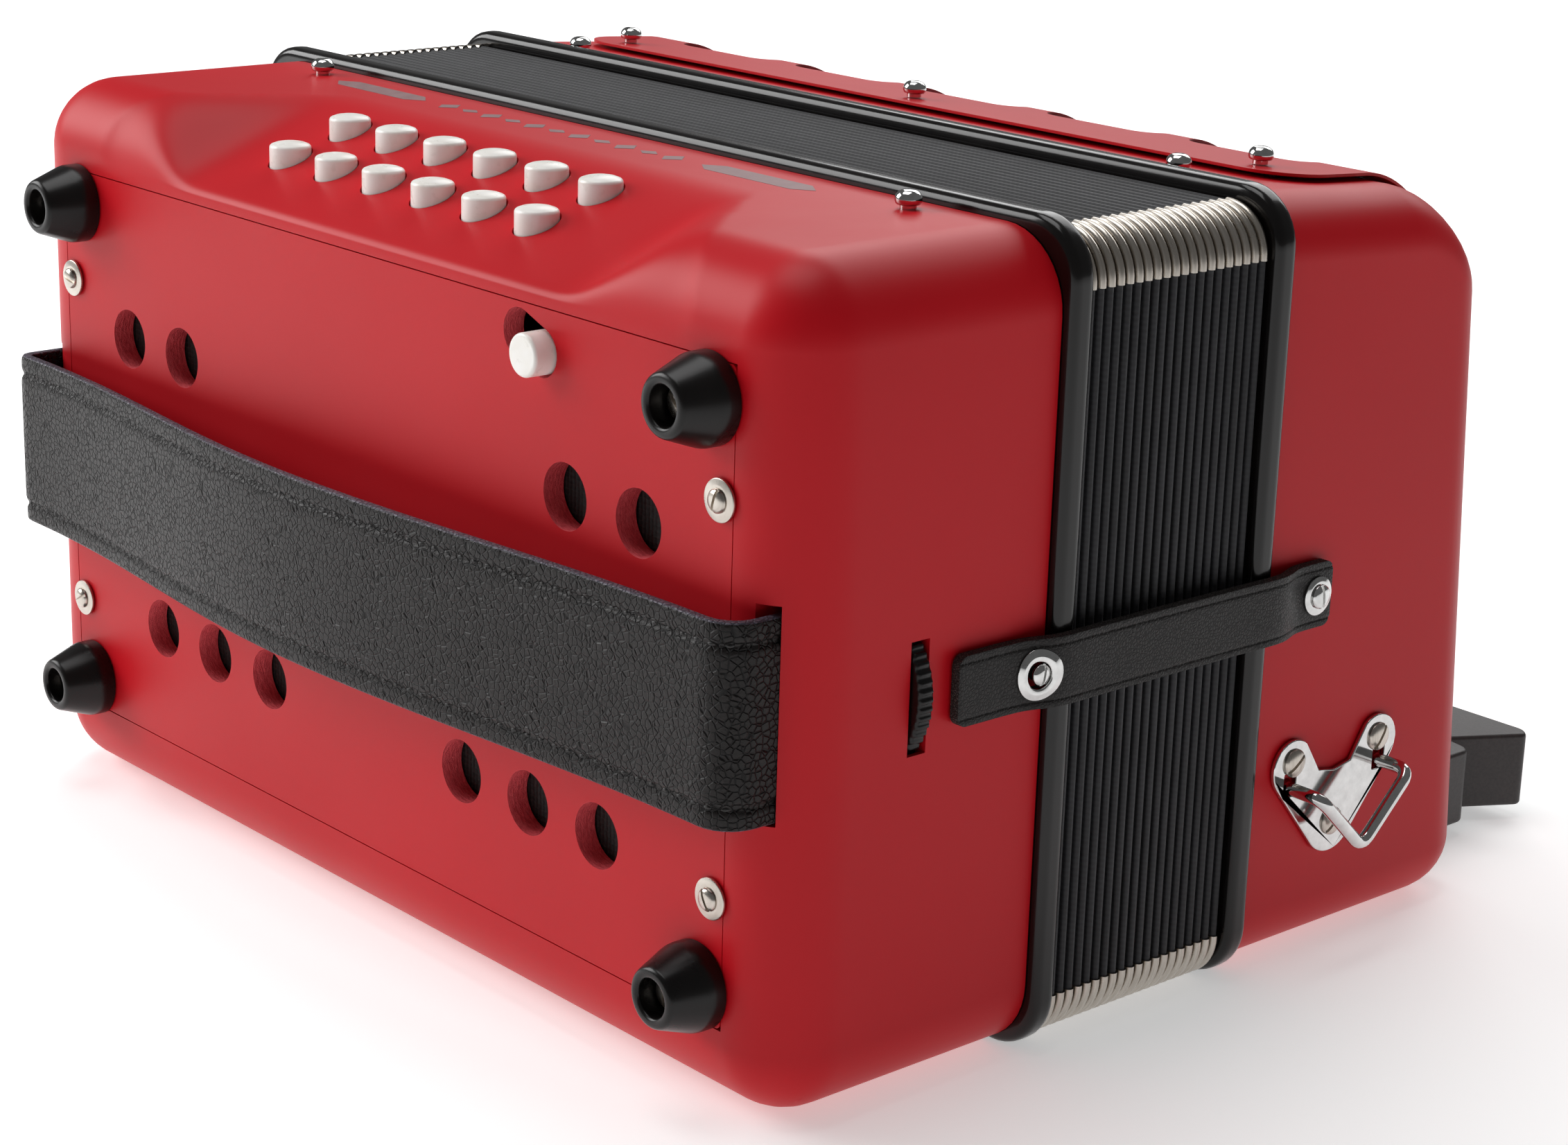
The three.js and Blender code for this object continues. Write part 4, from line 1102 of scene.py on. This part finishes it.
# %% [markdown]
# ## Treble case
# The treble side curves away from its front into its end with a 34 mm radius, 17 mm at the back and 15 mm at
# the sides. Its front falls by about 3 degrees towards the end, and its end face leans a little. One
# function gives its outer skin grown by any amount, so the case, the grille that floats over it and the
# fingerboard that fits against it all agree.

# %% The outer skin of the treble case
TREBLE_START, TREBLE_END, SLANT, TAPER = 149.7, 240.8, 0.0788, 0.053
FRONT_R, BACK_R, SIDE_R = 34.0, 17.0, 15.0


def treble_ring(y, grown):
    """The outline of the skin at a distance y, before its lean, as (x, y, z) points."""
    end = TREBLE_END + grown
    front, back, side = (in_from_end(radius + grown, end - y) for radius in (FRONT_R, BACK_R, SIDE_R))
    corner = max(SIDE_R + grown - side, 0.6)
    outline = rounded_box(-HALF - grown + side, HALF + grown - side,
                          -grown + back, HIGH + grown - front, corner)
    return [(x, lean(y, z, grown), taper(y, z)) for x, z in outline]


def taper(y, z):
    return z * (1 - TAPER * (y - TREBLE_START) / HIGH)


def lean(y, z, grown=0):
    share = (y - TREBLE_START) / (TREBLE_END + grown - TREBLE_START)
    return y - SLANT * max(z - BACK_R - grown, 0) * share


def treble_levels(grown, start, arc_steps):
    end, radius = TREBLE_END + grown, FRONT_R + grown
    turns = [math.pi / 2 * step / arc_steps for step in range(arc_steps, -1, -1)]
    return [start] + [end - radius * (1 - math.cos(turn)) for turn in turns]


def treble_block(grown, start, arc_steps=20):
    return loft([treble_ring(y, grown) for y in treble_levels(grown, start, arc_steps)])


SOUND_OPENING = {"half": 118, "from": 181, "to": 206, "low": 150}
BRACKET = {"y": 180.0, "z": 46.2, "thick": 1.2}
RING = {"half": 16.9, "reach": 11.3, "drop": 16.0, "wire": 1.7}
treble_case = draw("treble_case_body", treble_block(0, TREBLE_START), RED_LACQUER)
carve(treble_case, treble_block(-WALL, TREBLE_START - 1, 8))
carve(treble_case, brick((-SOUND_OPENING["half"], SOUND_OPENING["from"], SOUND_OPENING["low"]),
                         (SOUND_OPENING["half"], SOUND_OPENING["to"], HIGH + 2)))
sockets = []
for sign in (-1, 1):
    for side in (-1, 1):
        place = (sign * (HALF - 1.6), BRACKET["y"] + side * RING["half"], BRACKET["z"])
        sockets.append(turned(rod_profile(RING["wire"] + 0.6, 0, 3), place, (sign, 0, 0)))
carve(treble_case, *sockets)
fit(treble_case, "treble_side", "red_lacquer", "treble_case", crease=32)

# %% [markdown]
# ## Grille
# The grille is a lacquered metal sheet 0.8 mm thick that floats 1.2 mm over the front and follows it round
# the rounded end. Its five openings are punched while it is flat. So it is drawn flat with a fine grid,
# punched, its edges eased, and then bent: the place along it is a length over the curve, and the place
# across it is a length round the side edges.

# %% Route of the grille over the front
GRILLE = {"lift": 1.2, "thick": 0.8, "start": 173.0, "half": 137.0, "low": 118.0}
WINDOWS = {"start": 202, "half": 20, "centres": (-100, -50, 0, 50, 100), "radius": 7}
FLAT_FRONT = TREBLE_END - FRONT_R - TREBLE_START
FRONT_BEND = FRONT_R * math.pi / 2


def skin_place(along, across, grown):
    """Along is the distance from the treble frame over the curved front, across from the middle line."""
    if along <= FLAT_FRONT:
        y, drop = TREBLE_START + along, -grown
    elif along <= FLAT_FRONT + FRONT_BEND:
        angle = (along - FLAT_FRONT) / FRONT_R
        y = TREBLE_END - FRONT_R + (FRONT_R + grown) * math.sin(angle)
        drop = FRONT_R - (FRONT_R + grown) * math.cos(angle)
    else:
        y, drop = TREBLE_END + grown, FRONT_R + (along - FLAT_FRONT - FRONT_BEND)
    side = in_from_end(SIDE_R + grown, max(TREBLE_END + grown - y, 0))
    corner = SIDE_R + grown - side
    straight = HALF - SIDE_R
    wide = abs(across)
    angle = min(max(wide - straight, 0) / SIDE_R, math.pi / 2)
    x = min(wide, straight) + corner * math.sin(angle)
    z = HIGH - drop - corner * (1 - math.cos(angle))
    return (math.copysign(x, across), lean(y, z, grown), taper(y, z))


GRILLE_END = FLAT_FRONT + FRONT_BEND + (HIGH - FRONT_R - GRILLE["low"])
print("grille from", round(GRILLE["start"] - TREBLE_START, 1), "to", round(GRILLE_END, 1))

# %% Grille sheet
GRILLE_FROM = GRILLE["start"] - TREBLE_START
along_places = spread(GRILLE_FROM - 8, GRILLE_END + 10, 2.5)
across_places = spread(-GRILLE["half"] - 1, GRILLE["half"] + 1, 5)
flat_grille = slab(along_places, across_places, 0, GRILLE["thick"])
grille = draw("treble_grille_sheet", flat_grille, GRILLE_LACQUER, raw=True)


def flat_window(left, right, low, high, radius, thick=4):
    outline = rounded_box(left, right, low, high, radius, 8)
    return loft([[(along, across, t) for along, across in outline] for t in (-thick, thick)])


cover = flat_window(GRILLE_FROM, GRILLE_END, -GRILLE["half"], GRILLE["half"], 16)
carve(grille, cover, way="INTERSECT", raw=True)
window_from, window_to = WINDOWS["start"] - TREBLE_START, FLAT_FRONT + FRONT_BEND - 3
windows = [flat_window(window_from, window_to, x - WINDOWS["half"], x + WINDOWS["half"], WINDOWS["radius"])
           for x in WINDOWS["centres"]]
carve(grille, *windows, raw=True)
ease(grille, 0.3, 3, 50)
bend(grille, lambda along, across, thick: skin_place(along, across, GRILLE["lift"] + thick))
fit(grille, "treble_side", "grille_red", "treble_grille", crease=45)

# %% [markdown]
# Behind the grille's openings a black mesh is stretched over the case. It is cut 256 mm wide and bent once
# over the curve, so its flat length is the length over the curve.

# %% Mesh behind the grille
CLOTH_START, CLOTH_HALF = 179, 128
CLOTH_FROM, CLOTH_TO = CLOTH_START - TREBLE_START, FLAT_FRONT + FRONT_BEND + 8
cloth_shape = slab(spread(CLOTH_FROM, CLOTH_TO, 3), spread(-CLOTH_HALF, CLOTH_HALF, 12), 0.35, 0.8)
treble_mesh = draw("treble_sound_mesh", cloth_shape, SOUND_MESH, raw=True)
bend(treble_mesh, skin_place)
fit(treble_mesh, "treble_side", "grille_cloth", "treble_grille_cloth")

# %% [markdown]
# ## Pins
# Round-headed pins of plated brass hold the grille and the bellows. A pin is a short stem with a button head:
# a turned profile. The grille's pins stand on it, the bellows pins stand on the two cases by the frames.

# %% Grille pins and bellows pins
PIN_PROFILE = [(0, 0), (1.9, 0), (1.9, 0.9), (2.7, 1.1)] + arc((1.0, 2.2), 2.1, -25, 82, 8) + [(0, 4.35)]
GRILLE_PIN = {"xs": (-120.6, 0, 120.6), "y": 178}
BELLOWS_PIN_X = 115
pin_seat = taper(GRILLE_PIN["y"], HIGH) + GRILLE["lift"] + GRILLE["thick"]
for index, x in enumerate(GRILLE_PIN["xs"]):
    stem = turned(PIN_PROFILE, (x, GRILLE_PIN["y"], pin_seat), (0, TAPER, 1), 36)
    pin = draw(f"grille_pin_{index + 1}", stem, BRIGHT_CHROME)
    fit(pin, "treble_side", "nickel", f"grille_screw_{index + 1}", crease=50)
for name, y, body in (("bass", 67.0, "bass_side"), ("treble", 155.0, "treble_side")):
    pins = [turned(PIN_PROFILE, (x, y, HIGH - 0.05), (0, 0, 1), 36) for x in (-BELLOWS_PIN_X, BELLOWS_PIN_X)]
    fit(draw(name + "_bellows_pins", together(pins), BRIGHT_CHROME), body, "nickel", crease=50)

# %% [markdown]
# ## Fingerboard
# The board for the right hand is a slab with a step in its outline, painted fine black, with three rows of
# holes. Its edges are rounded by 3 mm all round before the holes are bored, so that the holes stay crisp.

# %% Fingerboard
BOARD = {"low": 4.0, "high": 25.0, "inner": 242.0, "step": 272.0, "outer": 297.0}
ROOT, WAIST, TIP = 131.0, 121.0, 133.0
TREBLE_ROWS = [(252.5, 10), (268.5, 11), (284.5, 10)]
TREBLE_PITCH, TREBLE_RADIUS, TREBLE_PROUD = 19.4, 5.6, 5

half_outline = [(ROOT, BOARD["inner"] - 20), (ROOT, BOARD["step"] - 2), (ROOT - 2, BOARD["step"]),
                (WAIST, BOARD["step"] + 1.5), (TIP, BOARD["outer"] - 3), (TIP - 3, BOARD["outer"])]
board_outline = half_outline + [(-x, y) for x, y in reversed(half_outline)]
board_outline = filleted(board_outline, 2.2, 4)
board_rings = [[(x, y, z) for x, y in board_outline] for z in (BOARD["low"], BOARD["high"])]
board = draw("fingerboard_body", loft(board_rings), TEXTURED_BLACK)
ease(board, 2.6, 5, 50)
carve(board, treble_block(0.3, TREBLE_START, 8))
key_places = [(row, (i - (count - 1) / 2) * TREBLE_PITCH, y) for row, (y, count) in enumerate(TREBLE_ROWS)
              for i in range(count)]
bore = rod_profile(TREBLE_RADIUS + 0.5, 0, 8)
carve(board, *[turned(bore, (x, y, BOARD["high"] - 5.5), (0, 0, 1), 40) for _, x, y in key_places])
channels = []
for y, count in TREBLE_ROWS:
    reach = (count - 1) / 2 * TREBLE_PITCH + 9
    channels.append(brick((-reach, y - 6, BOARD["high"] - 13), (reach, y + 6, BOARD["high"] - 4.5)))
carve(board, *channels)
fit(board, "treble_side", "black_satin", "fingerboard", crease=40)

# %% Treble buttons
rail_top = BOARD["high"] - 4.8
for row, (y, count) in enumerate(TREBLE_ROWS):
    reach = (count - 1) / 2 * TREBLE_PITCH + 8
    bar = brick((-reach, y - 4.4, rail_top - 3.5), (reach, y + 4.4, rail_top))
    rail = draw(f"treble_key_rail_{row + 1}", bar, TURNED_STEEL)
    ease(rail, 0.4, 2)
    fit(rail, f"treble_button_row_{row + 1}_keys", "steel", f"treble_button_row_{row + 1}")
for number, (row, x, y) in enumerate(key_places):
    profile = button_profile(TREBLE_RADIUS, BOARD["high"] + TREBLE_PROUD - rail_top + 0.2, dome=0.6)
    cap = turned(profile, (x, y, rail_top - 0.2), (0, 0, 1), 40)
    button = draw(f"treble_button_{number + 1:02d}", cap, IVORY)
    fit(button, f"treble_button_row_{row + 1}_keys", "ivory_plastic", crease=32)

# %% [markdown]
# ## Strap brackets
# A three-lobed plate of chromed brass is screwed to each side of the treble case, and a ring of round wire
# swings in it for the shoulder strap. The plate is an outline with all its edges eased. The wire is a round
# section swept along a path with bent corners.

# %% Wire swept along a path
def wire(points, radius, sides=14):
    """A round wire along points, with flat ends."""
    points = [Vector(p) for p in points]
    rings, side = [], None
    for i, here in enumerate(points):
        way = (points[min(i + 1, len(points) - 1)] - points[max(i - 1, 0)]).normalized()
        side = way.orthogonal() if side is None else side - way * side.dot(way)
        side.normalize()
        over = way.cross(side)
        rings.append([tuple(here + side * (radius * math.cos(a)) + over * (radius * math.sin(a)))
                      for a in (2 * math.pi * k / sides for k in range(sides))])
    return loft(rings)


def ring_path(sign):
    inner, outer = sign * (HALF + 0.9), sign * (HALF + RING["reach"])
    y, z, low = BRACKET["y"], BRACKET["z"], BRACKET["z"] - RING["drop"]
    corners = [(inner, y - RING["half"], z), (outer, y - RING["half"], z), (outer, y, low),
               (outer, y + RING["half"], z), (inner, y + RING["half"], z)]
    return filleted([Vector(c) for c in corners], 3.8, 7, closed=False)


# %% Brackets and rings
def bracket_outline():
    """Three lobes, each as its centre, radius and first and last angle, with a shallow dip between two."""
    lobes = ((196, 51.2, 7.2, -40, 130), (164, 51.2, 7.2, 50, 220), (180, 35, 9, 222, 318))
    outline = []
    for y, z, radius, start, end in lobes:
        outline += arc((y, z), radius, start, end, 14)
        if start < 0:
            outline += [(186, 48.6), (180, 47.4), (174, 48.6)]
    return outline


for name, sign in (("top", 1), ("bottom", -1)):
    near, far = sign * (HALF + 0.3), sign * (HALF + 0.3 + BRACKET["thick"])
    plate_rings = [[(x, y, z) for y, z in bracket_outline()] for x in (near, far)]
    plate = draw("strap_bracket_plate_" + name, loft(plate_rings), BRIGHT_CHROME)
    for side in (-1, 1):
        y, z, wide = BRACKET["y"] + side * RING["half"], BRACKET["z"], RING["wire"] + 0.5
        reach = sorted((near - sign, far + sign))
        carve(plate, brick((reach[0], y - wide, z - wide), (reach[1], y + wide, z + wide + 1.6)))
    ease(plate, 0.35, 3, 50)
    fit(plate, "treble_side", "nickel", "strap_bracket_" + name, crease=40)
    heads = [slotted_head(3.6, 1.5, (far - sign * 0.1, BRACKET["y"] + y, z), (sign, 0, 0), 0.6 * y, 0.9)
             for y, z in ((16, 52.6), (-16, 52.6), (0, 34))]
    screws = draw("strap_bracket_screws_" + name, together(heads), SATIN_NICKEL)
    fit(screws, "treble_side", "nickel", crease=40)
    eye = draw("strap_ring_wire_" + name, wire(ring_path(sign), RING["wire"]), BRIGHT_CHROME)
    fit(eye, "ring_" + name, "nickel", "strap_ring_" + name, crease=50)

# %% [markdown]
# ## Closing straps
# A short strap at each side keeps the bellows shut. It is screwed to the treble side, climbs over the two
# frames and is pushed over a stud on the bass side. It is cut with rounded ends, an eyelet is set in its
# hole, and a line is pressed in along each edge. It is drawn flat, bored, eased and then bent.

# %% Route of a closing strap
CLOSER = {"from": 46.5, "to": 171.0, "half": 8.1, "thick": 2.4, "stud": 70.1, "eyelet": 3.4, "screw": 165.6}
climb = [(CLOSER["from"], 0.7), (CLOSER["stud"] - 9, 0.7), (CLOSER["stud"] - 3, 1.0), (BASS_FRAME_Y - 1.2, 3.5),
         (BASS_FRAME_Y + 3, 3.75), (FOLDS_FROM + 6, 3.5), (FOLDS_TO - 6, 3.5), (TREBLE_FRAME_Y + 4, 3.75),
         (TREBLE_START + 1.2, 3.5), (TREBLE_START + 8, 0.9), (TREBLE_START + 12, 0.6), (CLOSER["to"], 0.6)]
closer_path = Route(filleted([Vector(p) for p in climb], 5, 6, closed=False))


def along_at(y):
    return float(np.interp(y, closer_path.points[:, 0], closer_path.marks))


def closer_place(sign):
    def place(along, across, out):
        y, height = closer_path.place(along)
        way = closer_path.way(along)
        if out > CLOSER["thick"] / 2:
            out -= 0.22 * math.exp(-((abs(across) - CLOSER["half"] + 1.7) / 0.28) ** 2)
        return (sign * (HALF + height + way[0] * out), y - way[1] * out, MIDDLE_Z + across)
    return place


print("closing strap is", round(closer_path.length, 1), "mm long")

# %% Closing straps
# Close together where the pressed line runs, 1.7 mm from each edge.
half_places = [8.1, 7.6, 7.0, 6.7, 6.5, 6.4, 6.25, 6.0, 5.5, 4, 2]
width_places = [-place for place in half_places] + [0] + half_places[::-1]
CLOSER_BEND = (164.0, 155.0)
washer_ring = filleted([(3.2, -0.3), (3.2, 0.9), (4.4, 1.05), (6.0, 0.35), (6.0, 0)], 0.3, 3)
for name, sign in (("top", 1), ("bottom", -1)):
    flat_strip = slab(spread(0, closer_path.length, 1.5), width_places, 0, CLOSER["thick"])
    strip = draw("closing_strap_hide_" + name, flat_strip, SMOOTH_HIDE, raw=True)
    rounded = flat_window(0, closer_path.length, -CLOSER["half"], CLOSER["half"], 2.6)
    carve(strip, rounded, way="INTERSECT", raw=True)
    hole = rod_profile(CLOSER["eyelet"], -2, 6)
    carve(strip, turned(hole, (along_at(CLOSER["stud"]), 0, 0), (0, 0, 1), 40), raw=True)
    ease(strip, 0.3, 2, 60)
    strip.data.materials.append(RAW_EDGE)
    for face in strip.data.polygons:
        if abs(face.normal.z) < 0.5:
            face.material_index = 1
    bend(strip, closer_place(sign))
    fit(strip, None, "smooth_leather", "closing_strap_" + name, crease=50)
    start, end = (put(sign * HALF, y, MIDDLE_Z) for y in CLOSER_BEND)
    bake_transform(strip)
    eyelet_profile = [(radius, height + CLOSER["thick"]) for radius, height in washer_ring]
    flat_eyelet = turned(eyelet_profile, (along_at(CLOSER["stud"]), 0, 0), (0, 0, 1), 44, closed=True)
    eyelet = draw("closing_strap_eyelet_" + name, flat_eyelet, BRIGHT_CHROME, raw=True)
    bend(eyelet, closer_place(sign))
    fit(eyelet, "closer_" + name, "nickel", crease=50)

# %% Studs and the screws of the closing straps
for name, sign in (("top", 1), ("bottom", -1)):
    way = (sign, 0, 0)
    shank = turned(rod_profile(2.0, 0, 4.0), (sign * (HALF + 0.3), CLOSER["stud"], MIDDLE_Z), way)
    head = slotted_head(2.6, 1.7, (sign * (HALF + 4.25), CLOSER["stud"], MIDDLE_Z), way, 0.6, 0.7)
    stud = draw("closing_stud_pin_" + name, together([shank, head]), BRIGHT_CHROME)
    fit(stud, "bass_side", "nickel", "closing_stud_" + name, crease=50)
    top = sign * (HALF + 0.6 + CLOSER["thick"] + 0.05)
    washer = turned(filleted([(1.5, 0), (4.85, 0), (4.85, 0.5), (3.6, 0.9), (1.5, 0.9)], 0.25, 2),
                    (top, CLOSER["screw"], MIDDLE_Z), way, 40, closed=True)
    head = slotted_head(3.0, 1.4, (top + sign * 0.85, CLOSER["screw"], MIDDLE_Z), way, 0.9, 0.8)
    fit(draw("closing_strap_screw_" + name, together([washer, head]), BRIGHT_CHROME), "treble_side", "nickel")

# %% [markdown]
# ## Printed ornament
# A row of plain printed figures runs along the front beside the bellows: a bar with pointed ends at each
# side, and lozenges between them. Ink has a thickness of a few hundredths of a millimetre; it is drawn as
# thin plates 0.06 mm high, because a plate has a sharper edge than a mask made of waves.

# %% Ornament
INK_HIGH = 0.06


def ink_plate(outline):
    return loft([[(x, y, z) for x, y in outline] for z in (HIGH - 0.1, HIGH + INK_HIGH)])


def ornament_row(y, wide, start, end, lozenges):
    plates = []
    for left, right, tip in ((start, start + 40, 5), (end - 40, end, 5)):
        plates.append(ink_plate([(left, y), (left + tip, y - wide / 2), (right - tip, y - wide / 2),
                                 (right, y), (right - tip, y + wide / 2), (left + tip, y + wide / 2)]))
    left, right = start + 46, end - 46
    pitch = (right - left) / lozenges
    for i in range(lozenges):
        x = left + pitch * (i + 0.5)
        long, tall = pitch * 0.36, wide * (0.5 if i % 2 == 0 else 0.3)
        plates.append(ink_plate([(x - long, y), (x, y - tall), (x + long, y), (x, y + tall)]))
    return together(plates)


fit(draw("bass_printed_ornament", ornament_row(64.0, 7.0, -103, 88, 11), INK), "bass_side", "black_satin")
fit(draw("treble_printed_ornament", ornament_row(157.5, 5.0, -103, 88, 11), INK), "treble_side", "black_satin")

# %% [markdown]
# ## Table, light and camera
# The instrument lies on a white table. A big soft light from above and left gives the broad pale sheen on
# the front, a weaker one fills the end, and the white room does the rest. The camera is a long lens, level
# enough to see the bass end, the front and the top side together.

# %% Table
table = bpy.data.materials.new("white_table")
table.use_nodes = True
white = table.node_tree.nodes["Principled BSDF"]
white.inputs["Base Color"].default_value = linear("#F4F4F4")
white.inputs["Roughness"].default_value = 0.75
white.inputs["Emission Color"].default_value = linear("#FFFFFF")
white.inputs["Emission Strength"].default_value = 0.42
bpy.ops.mesh.primitive_plane_add(size=14, location=(0, 0, 0))
floor = bpy.context.object
floor.name = "table_top"
floor.data.materials.append(table)
print(floor.name)


# %% Lights
def soft_light(name, place, target, size, power, colour="#FFFFFF"):
    light = bpy.data.lights.new(name, "AREA")
    light.shape = "RECTANGLE"
    light.size, light.size_y = size
    light.energy = power
    light.color = linear(colour)[:3]
    lamp = bpy.data.objects.new(name, light)
    lamp.location = place
    lamp.rotation_euler = (Vector(target) - Vector(place)).to_track_quat("-Z", "Y").to_euler()
    bpy.context.scene.collection.objects.link(lamp)
    return lamp


soft_light("back_softbox", (-0.9, 1.9, 1.5), (0, 0, 0.1), (2.2, 1.4), 26)
soft_light("front_left_softbox", (-1.5, -1.0, 1.0), (0, -0.1, 0.1), (1.2, 1.2), 28)
soft_light("overhead", (-0.3, -0.1, 1.9), (0, 0, 0), (1.2, 1.2), 14)
world = bpy.data.worlds.new("white_room")
world.use_nodes = True
world.node_tree.nodes["Background"].inputs["Color"].default_value = linear("#FFFFFF")
world.node_tree.nodes["Background"].inputs["Strength"].default_value = 0.12
bpy.context.scene.world = world
bpy.context.scene.view_settings.view_transform = "Standard"

# %% Camera
lens = bpy.data.cameras.new("long_lens")
lens.lens, lens.sensor_width = 74.109, 36.0
lens.clip_end = 50
camera = bpy.data.objects.new("camera", lens)
camera.location = (0.62044, END_FACE - 0.41881, 0.32155)
camera.rotation_euler = [math.radians(a) for a in (72.9802, -1.6735, 48.6735)]
bpy.context.scene.collection.objects.link(camera)
bpy.context.scene.camera = camera
print("camera at", [round(c, 3) for c in camera.location])
